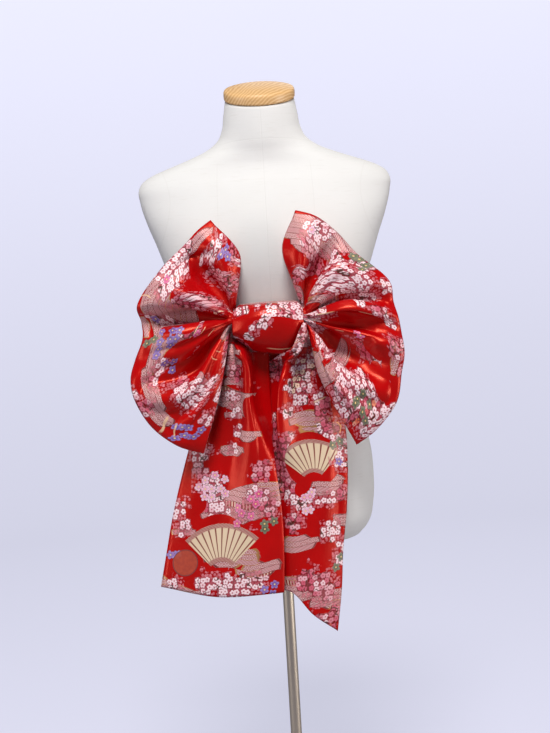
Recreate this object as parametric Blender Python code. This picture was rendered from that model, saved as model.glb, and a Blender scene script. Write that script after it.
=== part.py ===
"""An obi sash, tied in a large bow with two tails, on a limbless dress form.

Metres, +Z up, the front of the form faces -Y, and the origin is the middle of the underside
of the stand. The tables are in millimetres. Each piece of cloth is worked out as the middle
surface of its wall, and a Solidify modifier gives the wall its thickness.
"""

import bpy
import numpy as np

MM = 0.001

# Cloth
WALL = 2.0
SEAM_GAP = 0.4

# Stand
BASE_RADIUS = 150.0
BASE_THICKNESS = 9.0
BASE_EDGE_ROUND = 3.0
HUB_RADIUS = 26.0
HUB_HEIGHT = 14.0
HUB_FOOT = 6.0
HUB_FOOT_RISE = (1.0, 3.0)
HUB_DRAFT = 2.0
HUB_EDGE_ROUND = 4.0
STAND_SIDES = 36
POLE_RADIUS = 8.5
TOUCH_GAP = 0.3

# Dress form: one row for each height of the form. The plane of a section tips forward
# by `tip` degrees, and `square` is the exponent of its superellipse.
TORSO_COLUMNS = ("z", "half_width", "front", "back", "square", "tip")
TORSO = (
    (430, 92, -60, 64, 2.0, 0),
    (434, 108, -74, 78, 2.0, 0),
    (443, 121, -84, 90, 2.1, 0),
    (458, 132, -91, 98, 2.2, 0),
    (485, 139, -95, 105, 2.3, 0),
    (530, 142, -96, 109, 2.3, 0),
    (575, 139, -94, 106, 2.3, 0),
    (610, 131, -90, 97, 2.3, 0),
    (640, 123, -88, 88, 2.3, 0),
    (675, 116, -86, 81, 2.3, 0),
    (710, 114, -86, 78, 2.3, 0),
    (745, 118, -88, 79, 2.3, 0),
    (775, 125, -91, 83, 2.3, 0),
    (815, 140, -97, 90, 2.3, 0),
    (855, 155, -101, 96, 2.3, 0),
    (895, 169, -98, 100, 2.3, 0),
    (930, 182, -88, 98, 2.3, 0),
    (960, 190, -76, 93, 2.2, 0),
    (980, 191, -66, 85, 2.2, 0),
    (992, 183, -59, 78, 2.2, 0),
    (1001, 167, -55, 71, 2.2, 0),
    (1010, 143, -53, 64, 2.2, 1),
    (1020, 115, -53, 59, 2.1, 2),
    (1031, 88, -54, 55, 2.0, 4),
    (1044, 69, -56, 50, 2.0, 7),
    (1060, 60, -57, 44, 2.0, 10),
    (1082, 56, -57, 40, 2.0, 14),
    (1105, 52, -56, 38, 2.0, 18),
)
TORSO_STEPS = 1
TORSO_SIDES = 36
BUST_X = 70.0
BUST_Z = 852.0
BUST_SPREAD = 46.0
BUST_RISE = 9.0

# Neck cap: widths as shares of the neck's cut, and heights above it.
CAP_PROFILE = (
    (0.95, 0.0),
    (1.02, 2.0),
    (1.03, 6.0),
    (1.03, 11.0),
    (1.01, 14.5),
    (0.94, 17.0),
    (0.60, 20.5),
    (0.25, 22.0),
)

# Waist band: it follows the form between two of the form's own heights.
SASH_BOTTOM = 640
SASH_TOP = 775

# Knot: one row for each station across it. `ridge` is the height of its most forward line.
KNOT_COLUMNS = ("x", "top", "bottom", "ridge", "front", "back")
KNOT = (
    (-58, 799, 760, 776, -146, -101.5),
    (-46, 801, 748, 777, -153, -100.7),
    (-30, 802, 736, 780, -158, -100.7),
    (-8, 803, 730, 783, -160, -100.7),
    (16, 803, 728, 783, -158, -100.7),
    (34, 802, 734, 781, -154, -100.7),
    (45, 800, 753, 779, -148, -101.5),
)
KNOT_STEPS = 1
KNOT_SIDES = 28
KNOT_SQUARE_ABOVE = 2.4
KNOT_SQUARE_BELOW = 1.7
KNOT_CORE_Y = -125.0
MOUTH_LEFT = 12.0
MOUTH_RIGHT = 8.0

# Loops: one row for each fold line that fans out of the gather, from the upper selvedge to
# the lower one. `mid` is its middle and `tip` its far end, where the cloth rolls over to
# the back with a radius of `roll`. Ridges lie further forward (-Y) than valleys.
WING_COLUMNS = ("mid_x", "mid_z", "mid_y", "tip_x", "tip_z", "tip_y", "roll")
WING_LEFT = (
    (-41, 874, -140, -80, 925, -130, 5),
    (-62, 863, -158, -98, 912, -137, 7),
    (-93, 845, -134, -121, 890, -134, 8),
    (-117, 832, -163, -153, 861, -142, 9),
    (-127, 812, -168, -191, 810, -151, 8),
    (-124, 788, -132, -188, 784, -133, 9),
    (-128, 766, -171, -188, 758, -143, 10),
    (-126, 741, -164, -200, 731, -138, 10),
    (-112, 714, -144, -208, 703, -145, 10),
    (-121, 684, -169, -202, 669, -149, 10),
    (-113, 668, -163, -182, 633, -145, 9),
    (-98, 670, -165, -148, 605, -147, 8),
    (-79, 684, -152, -110, 590, -141, 6),
)
WING_RIGHT = (
    (20, 879, -140, 42, 932, -131, 5),
    (46, 869, -160, 68, 923, -139, 7),
    (67, 836, -136, 99, 898, -137, 8),
    (92, 849, -166, 124, 867, -146, 9),
    (112, 819, -162, 172, 819, -147, 9),
    (113, 803, -143, 175, 794, -139, 8),
    (111, 788, -171, 180, 772, -149, 9),
    (106, 769, -143, 184, 748, -143, 10),
    (128, 749, -161, 186, 723, -153, 9),
    (99, 717, -131, 181, 692, -148, 10),
    (88, 695, -163, 169, 645, -150, 9),
    (80, 684, -169, 139, 610, -148, 8),
    (63, 693, -152, 111, 590, -141, 6),
)
WING_STEPS = 3
LINE_STEPS = (1, 1, 2, 3, 4, 2, 2, 4, 3, 1, 1)

# Gathered neck of a loop, inside the knot: the fold lines take up an arc of NECK_SPAN degrees
# on either side of its front, and its ridges stand NECK_PLEAT of its radius above its valleys.
NECK_END_LEFT = -10.0
NECK_END_RIGHT = -2.0
NECK_BOTTOM = 765.0
NECK_SPAN = 78.0
NECK_SQUARE = 2.0
NECK_PLEAT = 0.04
NECK_TAPER = 1.5
NECK_DIP = 3.5
NECK_FAN = 5.0
NECK_EASE = 0.45
NECK_OUT = 3.5
NECK_STRAIGHT = 6.0

# Beside the knot the front layer rises faster than it spreads: where it has gone NEAR_SPREAD
# of the way out to the middle of a fold line, it has come NEAR_RISE of the way forward.
NEAR_SPREAD = 0.36
NEAR_RISE = 0.64

# Back layer of a loop: its depth, and how much of the front's folds and width it keeps.
BACK_MID_Y = -121.0
BACK_WAVE = 0.25
BACK_WIDTH = 0.96
ROLL_PULL = 1.7

# Tails: one row for each height. Five lines run down each tail: the outer edge, the middle,
# the ridge beside the centre, the turn into the centre, and the hidden inner edge.
TAIL_COLUMNS = (
    "outer_z", "mid_z", "inner_z",
    "outer_x", "outer_y", "mid_x", "mid_y",
    "ridge_x", "ridge_y", "turn_x", "turn_y", "inner_x", "inner_y",
)
TAIL_LINES = ("outer", "mid", "ridge", "turn", "inner")
TAIL_LEFT = (
    (778, 778, 778, -58, -98.3, -45, -98.3, -32, -98.3, -18, -98.3, -2, -98.3),
    (752, 752, 752, -63, -98.3, -49, -98.3, -34, -98.3, -20, -98.3, -3, -98.3),
    (744, 744, 744, -66, -98.8, -52, -99.5, -39, -100.5, -24, -99.5, -4.5, -99.2),
    (735, 735, 735, -71, -100, -61, -110, -49, -122, -33, -105, -6, -100.5),
    (716, 716, 716, -80, -102, -66, -117, -50, -137, -31, -108, -8, -103),
    (690, 690, 690, -91, -104, -70, -120, -49, -142, -30, -110, -9, -105),
    (656, 656, 656, -106, -107, -74, -121, -45, -144, -26, -112, -9, -106),
    (610, 610, 610, -127, -108, -80, -122, -36, -143, -15, -121, -9, -114),
    (557, 554, 554, -145, -107, -83, -124, -32, -141, -7, -132, -22, -121),
    (495, 490, 488, -163, -107, -88, -127, -34, -140, -2, -130, -26, -121),
    (440, 428, 426, -176, -107, -94, -129, -37, -139, -3, -129, -28, -121),
    (392, 376, 378, -187, -107, -98, -130, -40, -139, -6, -129, -30, -121),
)
TAIL_RIGHT = (
    (778, 778, 778, 46, -95.5, 34, -95.5, 21, -95.5, 8, -95.5, -8, -95.5),
    (752, 752, 752, 51, -95.5, 37, -95.5, 23, -95.5, 9, -95.5, -10, -95.5),
    (744, 744, 744, 54, -96, 39, -97, 26, -97.5, 11, -96.5, -11, -95.7),
    (735, 735, 735, 58, -97, 42, -104, 31, -106, 19, -99, -12, -96),
    (724, 724, 724, 65, -99, 44, -113, 26, -123, 14, -102, -12.5, -96),
    (716, 716, 716, 70, -101, 45, -117, 19, -132, 11, -104, -13, -96),
    (690, 690, 690, 82, -105, 46, -121, 7, -141, 5, -108, -14, -96),
    (656, 656, 656, 92, -107, 50, -122, 0, -144, 0, -112, -14, -97),
    (610, 610, 610, 98, -107, 54, -122, -2, -142, -1, -116, -16, -101),
    (555, 555, 555, 98, -107, 54, -122, 5, -126, -8, -114, -24, -109),
    (489, 489, 489, 93, -106, 50, -121, 3, -121, -10, -113, -26, -110),
    (425, 425, 425, 84, -106, 46, -121, 2, -121, -10, -113, -26, -110),
    (370, 382, 396, 79, -107, 42, -121, 1, -121, -10, -114, -26, -111),
    (311, 339, 378, 70, -109, 36, -121, 0, -121, -10, -114, -26, -111),
)
TAIL_ACROSS = 4
TAIL_DOWN = 2


def columns(names, rows):
    """The table as a dictionary of arrays, one for each named column."""
    return dict(zip(names, np.array(rows, float).T))


def smooth_through(knots, values, at):
    """A smooth curve through values[i] at knots[i], read at the places in `at`.

    Each stretch is a cubic whose slopes at its two ends are those of the line between the
    knots on either side, so the curve has no corner and hardly overshoots.
    """
    knots = np.asarray(knots, float)
    values = np.asarray(values, float)
    shape = (-1,) + (1,) * (values.ndim - 1)
    slope = np.gradient(values, knots, axis=0)
    left = np.clip(np.searchsorted(knots, at, side="right") - 1, 0, len(knots) - 2)
    width = (knots[left + 1] - knots[left]).reshape(shape)
    t = (np.asarray(at) - knots[left]).reshape(shape) / width
    start = (1 + 2 * t) * (1 - t) ** 2 * values[left] + t * (1 - t) ** 2 * width * slope[left]
    end = t * t * (3 - 2 * t) * values[left + 1] - t * t * (1 - t) * width * slope[left + 1]
    return start + end


def between(knots, steps):
    """Places that cut each stretch between two knots into equal steps, both ends kept."""
    knots = np.asarray(knots, float)
    steps = np.broadcast_to(steps, len(knots) - 1)
    parts = [
        np.linspace(a, b, n, endpoint=False) for a, b, n in zip(knots[:-1], knots[1:], steps)
    ]
    return np.concatenate(parts + [knots[-1:]])


def along(points, power=1.0):
    """The distance along a line of points, for each of them.

    With a power of a half, a bend beside a short stretch stays as tight as that stretch.
    """
    return np.r_[0.0, np.cumsum(np.linalg.norm(np.diff(points, axis=0), axis=1) ** power)]


def superellipse(angle, square):
    """The two factors of a rounded-square section at an angle from its sideways axis."""
    power = 2.0 / square
    c, s = np.cos(angle), np.sin(angle)
    return np.sign(c) * np.abs(c) ** power, np.sign(s) * np.abs(s) ** power


def material(name, colour, roughness, metallic=0.0):
    made = bpy.data.materials.new(name)
    made.use_nodes = True
    shader = made.node_tree.nodes["Principled BSDF"]
    shader.inputs["Base Color"].default_value = (*colour, 1.0)
    shader.inputs["Roughness"].default_value = roughness
    shader.inputs["Metallic"].default_value = metallic
    return made


def add_object(name, points, faces, finish):
    """A smooth-shaded mesh object from points in millimetres."""
    mesh = bpy.data.meshes.new(name)
    mesh.from_pydata((np.asarray(points) * MM).tolist(), [], faces)
    mesh.validate()
    mesh.materials.append(finish)
    mesh.shade_smooth()
    made = bpy.data.objects.new(name, mesh)
    bpy.context.scene.collection.objects.link(made)
    return made


def grid_faces(rows, cols, ring):
    """Quads over a grid of points; with `ring` the last column joins the first."""
    row = np.arange(rows - 1)[:, None]
    col = np.arange(cols if ring else cols - 1)[None, :]
    beside = (col + 1) % cols
    here, above = row * cols, (row + 1) * cols
    corners = np.broadcast_arrays(here + col, here + beside, above + beside, above + col)
    return np.stack(corners, axis=-1).reshape(-1, 4).tolist()


def cloth(name, grid, finish, ring=False):
    """A wall of cloth on a grid of middle points, as thick on one side as on the other."""
    rows, cols = grid.shape[:2]
    made = add_object(name, grid.reshape(-1, 3), grid_faces(rows, cols, ring), finish)
    wall = made.modifiers.new("wall", "SOLIDIFY")
    wall.thickness = WALL * MM
    wall.offset = 0.0
    wall.use_even_offset = True
    wall.use_quality_normals = True
    return made


def loft(name, rings, finish):
    """A solid through rings of points, given from the bottom up and counterclockwise."""
    rows, cols = rings.shape[:2]
    faces = grid_faces(rows, cols, ring=True)
    faces.append(list(range(cols))[::-1])
    faces.append(list(range((rows - 1) * cols, rows * cols)))
    return add_object(name, rings.reshape(-1, 3), faces, finish)


def turned(name, profile, sides, finish):
    """A solid of revolution from (radius, height) pairs, bottom to top."""
    radius, height = np.array(profile, float).T
    angle = np.linspace(0, 2 * np.pi, sides, endpoint=False)
    ring = np.stack([np.cos(angle), np.sin(angle), np.zeros(sides)], axis=-1)
    rings = ring[None] * radius[:, None, None]
    rings[..., 2] = height[:, None]
    return loft(name, rings, finish)


def rounded_edge(radius, height, rounding, steps=2):
    """Profile points of a quarter round, up to the level top at the height given."""
    turn = np.linspace(0, np.pi / 2, steps + 1)
    out = radius - rounding + rounding * np.cos(turn)
    return list(zip(out, height - rounding + rounding * np.sin(turn)))


def torso_rings(outset=0.0, lowest=-np.inf, highest=np.inf):
    """Sections of the dress form, moved out by `outset`, between two heights."""
    table = columns(TORSO_COLUMNS, TORSO)
    level = between(table["z"], TORSO_STEPS)
    level = level[(level >= lowest) & (level <= highest)]
    read = {key: smooth_through(table["z"], table[key], level)[:, None] for key in TORSO_COLUMNS}
    angle = np.linspace(0, 2 * np.pi, TORSO_SIDES, endpoint=False)[None, :]
    across, fore = superellipse(angle, read["square"])
    x = across * (read["half_width"] + outset)
    centre = (read["front"] + read["back"]) / 2
    deep = (read["back"] - read["front"]) / 2 + outset
    y = centre + fore * deep
    away = np.hypot(np.abs(x) - BUST_X, level[:, None] - BUST_Z) / BUST_SPREAD
    y = y - BUST_RISE * np.exp(-away ** 2 / 2) * np.clip(-fore, 0, 1)
    z = level[:, None] + np.tan(np.radians(read["tip"])) * (y - centre)
    return np.stack([x, y, z], axis=-1)


def build_torso(finish):
    return loft("torso", torso_rings(), finish)


def build_neck_cap(finish):
    """A wooden disc with rounded edges and a slight crown, parallel to the cut of the neck."""
    seat = torso_rings()[-1]
    centre = seat.mean(axis=0)
    tip = np.radians(TORSO[-1][-1])
    up = np.array([0.0, -np.sin(tip), np.cos(tip)])
    wide, rise = np.array(CAP_PROFILE).T[:, :, None, None]
    return loft("neck_cap", centre + (seat - centre) * wide + up * (TOUCH_GAP + rise), finish)


def build_pole(finish):
    top = TORSO[0][0] - TOUCH_GAP
    bottom = BASE_THICKNESS + HUB_HEIGHT + TOUCH_GAP
    return turned("pole", [(POLE_RADIUS, bottom), (POLE_RADIUS, top)], STAND_SIDES, finish)


def build_base(finish):
    """A round foot with a low hub in its middle, which the pole stands on."""
    top = BASE_THICKNESS
    profile = [(BASE_RADIUS, 0.0)]
    profile += rounded_edge(BASE_RADIUS, top, BASE_EDGE_ROUND)
    low, high = HUB_FOOT_RISE
    profile += [(HUB_RADIUS + HUB_FOOT, top + low), (HUB_RADIUS, top + high)]
    profile += rounded_edge(HUB_RADIUS - HUB_DRAFT, top + HUB_HEIGHT, HUB_EDGE_ROUND)
    return turned("base", profile, STAND_SIDES, finish)


def build_waist_sash(finish):
    rings = torso_rings(SEAM_GAP + WALL / 2, SASH_BOTTOM, SASH_TOP)
    return cloth("waist_sash", rings, finish, ring=True)


def knot_section(x, angle, inset=0.0):
    """Points of the knot's section: angle 0 is its front line and 90 degrees its top."""
    table = columns(KNOT_COLUMNS, KNOT)
    clipped = np.clip(x, table["x"][0], table["x"][-1])
    read = {key: smooth_through(table["x"], table[key], np.ravel(clipped)) for key in KNOT_COLUMNS}
    read = {key: value.reshape(np.shape(clipped)) for key, value in read.items()}
    square = np.where(np.sin(angle) < 0, KNOT_SQUARE_BELOW, KNOT_SQUARE_ABOVE)
    fore, up = superellipse(angle, square)
    above = read["top"] - inset - read["ridge"]
    below = read["ridge"] - read["bottom"] - inset
    forward = KNOT_CORE_Y - read["front"] - inset
    backward = read["back"] - inset - KNOT_CORE_Y
    rise = np.where(up >= 0, above, below)
    y = KNOT_CORE_Y - fore * np.where(fore >= 0, forward, backward)
    z = read["ridge"] + up * rise
    return np.stack(np.broadcast_arrays(x, y, z), axis=-1)


def mouth(angle, depth):
    """How far the open end of the knot is cut back at its top, where the loop comes out."""
    return depth * np.clip(np.sin(angle), 0, 1) ** 4


def build_knot_band(finish):
    stations = between([row[0] for row in KNOT], KNOT_STEPS)
    share = (stations - stations[0]) / (stations[-1] - stations[0])
    angle = np.linspace(0, 2 * np.pi, KNOT_SIDES, endpoint=False)[None, :]
    left = stations[0] + mouth(angle, MOUTH_LEFT)
    right = stations[-1] - mouth(angle, MOUTH_RIGHT)
    x = left + share[:, None] * (right - left)
    return cloth("knot_band", knot_section(x, angle), finish, ring=True)


def wing_grid(rows, side, neck_end, mouth_depth):
    """The middle surface of a loop, upper to lower selvedge, front gather round to back gather.

    Each fold line is a smooth curve: out of the knot, over its middle point, round the roll
    at its tip, and back behind itself into the knot. A second smooth curve joins the lines.
    """
    table = columns(WING_COLUMNS, rows)
    count = len(rows)
    angle = np.radians(np.linspace(NECK_SPAN, -NECK_SPAN, count))
    around = np.pad(table["mid_y"], 1, mode="reflect", reflect_type="odd")
    dent = table["mid_y"] - (around[:-2] + around[2:]) / 2
    pleat = NECK_PLEAT * np.clip(dent / np.abs(dent).max(), 0, 1)
    inset = WALL + SEAM_GAP + NECK_EASE
    mouth_x = KNOT[0][0] if side < 0 else KNOT[-1][0]
    exit_x = mouth_x - side * (mouth(angle, mouth_depth) - NECK_OUT)

    def neck(x, turn, taper, dip, fan):
        """Points round the gathered neck, just inside the knot's wall, at a station x."""
        x = np.broadcast_to(x, count)
        top = knot_section(x, np.full(count, np.pi / 2), inset)[:, 2] - dip
        front = knot_section(x, np.zeros(count), inset + taper)[:, 1]
        back = knot_section(x, np.full(count, np.pi), inset + taper)[:, 1]
        fore, up = superellipse(turn, NECK_SQUARE)
        reach = np.where(fore >= 0, KNOT_CORE_Y - front, back - KNOT_CORE_Y)
        rise = (top - NECK_BOTTOM) / 2 * up * (1 - pleat)
        z = NECK_BOTTOM + (top - NECK_BOTTOM) / 2 + rise + fan * np.clip(-np.sin(turn), 0, 1)
        return np.stack([x, KNOT_CORE_Y - fore * reach * (1 - pleat), z], axis=-1)

    def line(x, y, z):
        return np.stack([x, y, z], axis=-1)

    tip_x, tip_z, tip_y, roll = (table[key] for key in ("tip_x", "tip_z", "tip_y", "roll"))
    mid_x, mid_z, mid_y = (table[key] for key in ("mid_x", "mid_z", "mid_y"))
    pull = ROLL_PULL * roll / np.hypot(mid_x - tip_x, mid_z - tip_z)
    roll_x, roll_z = tip_x + (mid_x - tip_x) * pull, tip_z + (mid_z - tip_z) * pull
    back_x = mouth_x + (mid_x - mouth_x) * BACK_WIDTH
    back_y = BACK_MID_Y + BACK_WAVE * (mid_y - mid_y.mean())
    gather, middle = neck(exit_x, angle, NECK_TAPER, NECK_DIP, 0.0), line(mid_x, mid_y, mid_z)
    keys = np.stack([
        neck(neck_end, angle, 0.0, 0.0, NECK_FAN),
        neck(exit_x - side * NECK_STRAIGHT, angle, NECK_TAPER, NECK_DIP, NECK_FAN),
        gather,
        gather + (middle - gather) * np.array([NEAR_SPREAD, NEAR_RISE, NEAR_SPREAD]),
        middle,
        line(roll_x, tip_y - roll, roll_z),
        line(tip_x, tip_y, tip_z),
        line(roll_x, tip_y + roll, roll_z),
        line(back_x, back_y, mid_z),
        neck(exit_x, np.pi - angle, NECK_TAPER, NECK_DIP, 0.0),
        neck(exit_x - side * NECK_STRAIGHT, np.pi - angle, NECK_TAPER, NECK_DIP, NECK_FAN),
        neck(neck_end, np.pi - angle, 0.0, 0.0, NECK_FAN),
    ])
    lines = []
    for row in range(count):
        places = along(keys[:, row], power=0.5)
        lines.append(smooth_through(places, keys[:, row], between(places, LINE_STEPS)))
    spacing = along(np.concatenate([line(mid_x, mid_y, mid_z), line(tip_x, tip_y, tip_z)], axis=-1))
    return smooth_through(spacing, np.array(lines), between(spacing, WING_STEPS))


def build_wing_left(finish):
    grid = wing_grid(WING_LEFT, -1, NECK_END_LEFT, MOUTH_LEFT)
    return cloth("wing_left", grid, finish)


def build_wing_right(finish):
    grid = wing_grid(WING_RIGHT, 1, NECK_END_RIGHT, MOUTH_RIGHT)
    return cloth("wing_right", grid[:, ::-1], finish)


def tail_grid(rows):
    """The middle surface of a tail: its five lines, joined smoothly across and down."""
    table = columns(TAIL_COLUMNS, rows)
    levels = (table["outer_z"], table["mid_z"]) + (table["inner_z"],) * 3
    lines = np.stack([
        np.stack([table[name + "_x"], table[name + "_y"], z], axis=-1)
        for name, z in zip(TAIL_LINES, levels)
    ])
    sections = []
    for row in range(len(rows)):
        places = along(lines[:, row])
        sections.append(smooth_through(places, lines[:, row], between(places, TAIL_ACROSS)))
    spacing = along(lines.mean(axis=0))
    return smooth_through(spacing, np.array(sections), between(spacing, TAIL_DOWN))


def build_tail_left(finish):
    return cloth("tail_left", tail_grid(TAIL_LEFT), finish)


def build_tail_right(finish):
    return cloth("tail_right", tail_grid(TAIL_RIGHT)[:, ::-1], finish)


def clear_scene():
    for old in list(bpy.data.objects):
        bpy.data.objects.remove(old, do_unlink=True)


def main():
    clear_scene()
    brocade = (0.60, 0.01, 0.012)
    build_torso(material("linen_form", (0.78, 0.77, 0.74), 0.85))
    build_neck_cap(material("neck_wood", (0.70, 0.42, 0.19), 0.45))
    build_pole(material("pole_metal", (0.45, 0.43, 0.38), 0.35, 1.0))
    build_base(material("base_metal", (0.40, 0.39, 0.36), 0.4, 1.0))
    build_waist_sash(material("sash_brocade", brocade, 0.45))
    build_knot_band(material("knot_brocade", brocade, 0.4))
    build_wing_left(material("left_loop_brocade", brocade, 0.42))
    build_wing_right(material("right_loop_brocade", brocade, 0.42))
    build_tail_left(material("left_tail_brocade", brocade, 0.42))
    build_tail_right(material("right_tail_brocade", brocade, 0.42))


main()
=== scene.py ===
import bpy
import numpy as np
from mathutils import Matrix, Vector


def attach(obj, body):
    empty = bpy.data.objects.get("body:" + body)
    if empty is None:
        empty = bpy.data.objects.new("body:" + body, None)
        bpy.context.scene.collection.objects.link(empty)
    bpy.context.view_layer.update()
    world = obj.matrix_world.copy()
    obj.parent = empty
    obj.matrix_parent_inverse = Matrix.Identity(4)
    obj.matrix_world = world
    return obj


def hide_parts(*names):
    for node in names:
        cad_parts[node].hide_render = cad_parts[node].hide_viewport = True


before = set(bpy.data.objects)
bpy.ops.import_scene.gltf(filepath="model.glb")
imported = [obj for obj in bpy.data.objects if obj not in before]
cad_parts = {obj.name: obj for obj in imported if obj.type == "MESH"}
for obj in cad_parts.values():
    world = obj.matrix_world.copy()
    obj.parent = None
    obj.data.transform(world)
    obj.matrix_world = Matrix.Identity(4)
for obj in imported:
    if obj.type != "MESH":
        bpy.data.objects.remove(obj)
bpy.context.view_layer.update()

# %% [markdown]
# # A tied obi bow on a dress form
#
# An obi is the long stiff sash that closes a kimono. This one is red silk brocade, tied in
# front in a big bow: two loops gathered into a smooth knot, and two tails hanging from it.
# It is shown on a limbless dress form. We build each piece of cloth as a surface worked out
# with numpy from a few named sizes, and give it a thin wall, soft creases and a woven finish.

MM = 0.001

# %% [markdown]
# ## Sizes
#
# A maker writes down a row of sizes for each fold line, and lets the cloth run smoothly
# from one row to the next. We do the same. All tables are in millimetres, +X is to the
# right in a front view, -Y is towards the viewer and +Z is up.

# %% Sizes of the form
TORSO_COLUMNS = ("z", "half_width", "front", "back", "square", "tip")
TORSO = (
    (430, 92, -60, 64, 2.0, 0),
    (434, 108, -74, 78, 2.0, 0),
    (443, 121, -84, 90, 2.1, 0),
    (458, 132, -91, 98, 2.2, 0),
    (485, 139, -95, 105, 2.3, 0),
    (530, 142, -96, 109, 2.3, 0),
    (575, 139, -94, 106, 2.3, 0),
    (610, 131, -90, 97, 2.3, 0),
    (640, 123, -88, 88, 2.3, 0),
    (675, 116, -86, 81, 2.3, 0),
    (710, 114, -86, 78, 2.3, 0),
    (745, 118, -88, 79, 2.3, 0),
    (775, 125, -91, 83, 2.3, 0),
    (815, 140, -97, 90, 2.3, 0),
    (855, 155, -101, 96, 2.3, 0),
    (895, 169, -98, 100, 2.3, 0),
    (930, 182, -88, 98, 2.3, 0),
    (960, 190, -76, 93, 2.2, 0),
    (980, 191, -66, 85, 2.2, 0),
    (992, 183, -59, 78, 2.2, 0),
    (1001, 167, -55, 71, 2.2, 0),
    (1010, 143, -53, 64, 2.2, 1),
    (1020, 115, -53, 59, 2.1, 2),
    (1031, 88, -54, 55, 2.0, 4),
    (1044, 69, -56, 50, 2.0, 7),
    (1060, 60, -57, 44, 2.0, 10),
    (1082, 56, -57, 40, 2.0, 14),
    (1105, 52, -56, 38, 2.0, 18),
)
BUST_X, BUST_Z, BUST_SPREAD, BUST_RISE = 70.0, 852.0, 46.0, 9.0
CAP_GAP = 0.3
CAP_PROFILE = (
    (0.95, 0.0),
    (1.02, 2.0),
    (1.03, 6.0),
    (1.03, 11.0),
    (1.01, 14.5),
    (0.94, 17.0),
    (0.60, 20.5),
    (0.25, 22.0),
)
print("form rows:", len(TORSO))

# %% [markdown]
# ## Sizes of the bow
#
# The tables of the bow work in the same way. The knot has a row for each station across it.
# A loop has a row for each fold line, from its top edge to its lowest: where the line stands
# in the middle of the front, where it ends, and how round it rolls over there. A tail has a
# row for each level that its five lines fall through.

# %% Sizes of the bow
SASH_BOTTOM, SASH_TOP, SASH_GAP = 640, 775, 1.4

KNOT_COLUMNS = ("x", "top", "bottom", "ridge", "front", "back")
KNOT = (
    (-58, 799, 756, 763, -146, -101.5),
    (-46, 801, 746, 768, -153, -100.7),
    (-30, 802, 735, 776, -158, -100.7),
    (-8, 803, 730, 782, -160, -100.7),
    (16, 803, 728, 781, -158, -100.7),
    (34, 802, 735, 776, -153, -100.7),
    (45, 800, 756, 774, -147, -101.5),
)
KNOT_SQUARE_ABOVE, KNOT_SQUARE_BELOW, KNOT_CORE_Y = 2.4, 1.7, -125.0
MOUTH_LEFT, MOUTH_RIGHT = 12.0, 8.0

WING_COLUMNS = ("mid_x", "mid_z", "mid_y", "tip_x", "tip_z", "tip_y", "roll")
WING_LEFT = (
    (-41, 874, -140, -80, 925, -130, 5),
    (-62, 863, -158, -98, 912, -137, 7),
    (-93, 845, -134, -121, 890, -134, 8),
    (-117, 832, -163, -153, 861, -142, 9),
    (-127, 812, -168, -191, 810, -151, 8),
    (-124, 788, -132, -188, 784, -133, 9),
    (-128, 766, -171, -188, 758, -143, 10),
    (-126, 741, -164, -200, 731, -138, 10),
    (-112, 714, -144, -208, 703, -145, 10),
    (-121, 684, -169, -202, 669, -149, 10),
    (-113, 668, -163, -182, 633, -145, 9),
    (-98, 670, -165, -148, 605, -147, 8),
    (-79, 684, -152, -110, 590, -141, 6),
)
WING_RIGHT = (
    (20, 879, -140, 42, 932, -131, 5),
    (46, 869, -160, 68, 923, -139, 7),
    (67, 836, -136, 99, 898, -137, 8),
    (92, 849, -166, 124, 867, -146, 9),
    (112, 819, -162, 172, 819, -147, 9),
    (113, 803, -143, 175, 794, -139, 8),
    (111, 788, -171, 180, 772, -149, 9),
    (106, 769, -143, 184, 748, -143, 10),
    (128, 749, -161, 186, 723, -153, 9),
    (99, 717, -131, 181, 692, -148, 10),
    (88, 695, -163, 169, 645, -150, 9),
    (80, 684, -169, 139, 610, -148, 8),
    (63, 693, -152, 111, 590, -141, 6),
)

# The gather inside the knot: its lowest level, the angle that the fold lines are spread
# over, how deep a pleat goes, and how far the gather reaches out of the knot and into it.
NECK = {
    "bottom": 765.0, "span": 78.0, "square": 2.0, "pleat": 0.04, "taper": 1.5, "dip": 3.5,
    "fan": 5.0, "inset": 2.85, "out": 3.5, "straight": 6.0, "left": -10.0, "right": -2.0,
}
# NEAR bends a fold line just outside the knot, and BACK is the hidden layer of a loop.
NEAR = {"spread": 0.36, "rise": 0.64}
BACK = {"y": -121.0, "wave": 0.25, "width": 0.96, "pull": 1.7}

TAIL_COLUMNS = (
    "outer_z", "mid_z", "inner_z",
    "outer_x", "outer_y", "mid_x", "mid_y",
    "ridge_x", "ridge_y", "turn_x", "turn_y", "inner_x", "inner_y",
)
TAIL_LINES = ("outer", "mid", "ridge", "turn", "inner")
TAIL_LEFT = (
    (778, 778, 778, -58, -98.3, -45, -98.3, -32, -98.3, -18, -98.3, -2, -98.3),
    (754, 754, 754, -63, -99.5, -58, -105, -51, -107, -39, -100, -3, -98.3),
    (745, 745, 745, -66, -106, -62, -123, -52, -130, -36, -107, -4.5, -99.2),
    (735, 735, 735, -71, -105, -66, -128, -48, -138, -31, -108, -6, -100),
    (716, 716, 716, -80, -103, -69, -128, -43, -143, -28, -108, -8, -101),
    (690, 690, 690, -91, -104, -72, -126, -41, -144, -27, -108, -9, -103),
    (656, 656, 656, -106, -107, -75, -124, -38, -145, -22, -110, -9, -104),
    (610, 610, 610, -127, -108, -80, -123, -31, -144, -12, -118, -9, -112),
    (557, 554, 554, -145, -107, -83, -124, -32, -141, -7, -132, -22, -121),
    (495, 490, 488, -163, -107, -88, -127, -34, -140, -2, -130, -26, -121),
    (440, 428, 426, -176, -107, -94, -129, -37, -139, -3, -129, -28, -121),
    (392, 376, 378, -187, -107, -98, -130, -40, -139, -6, -129, -30, -121),
)
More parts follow.
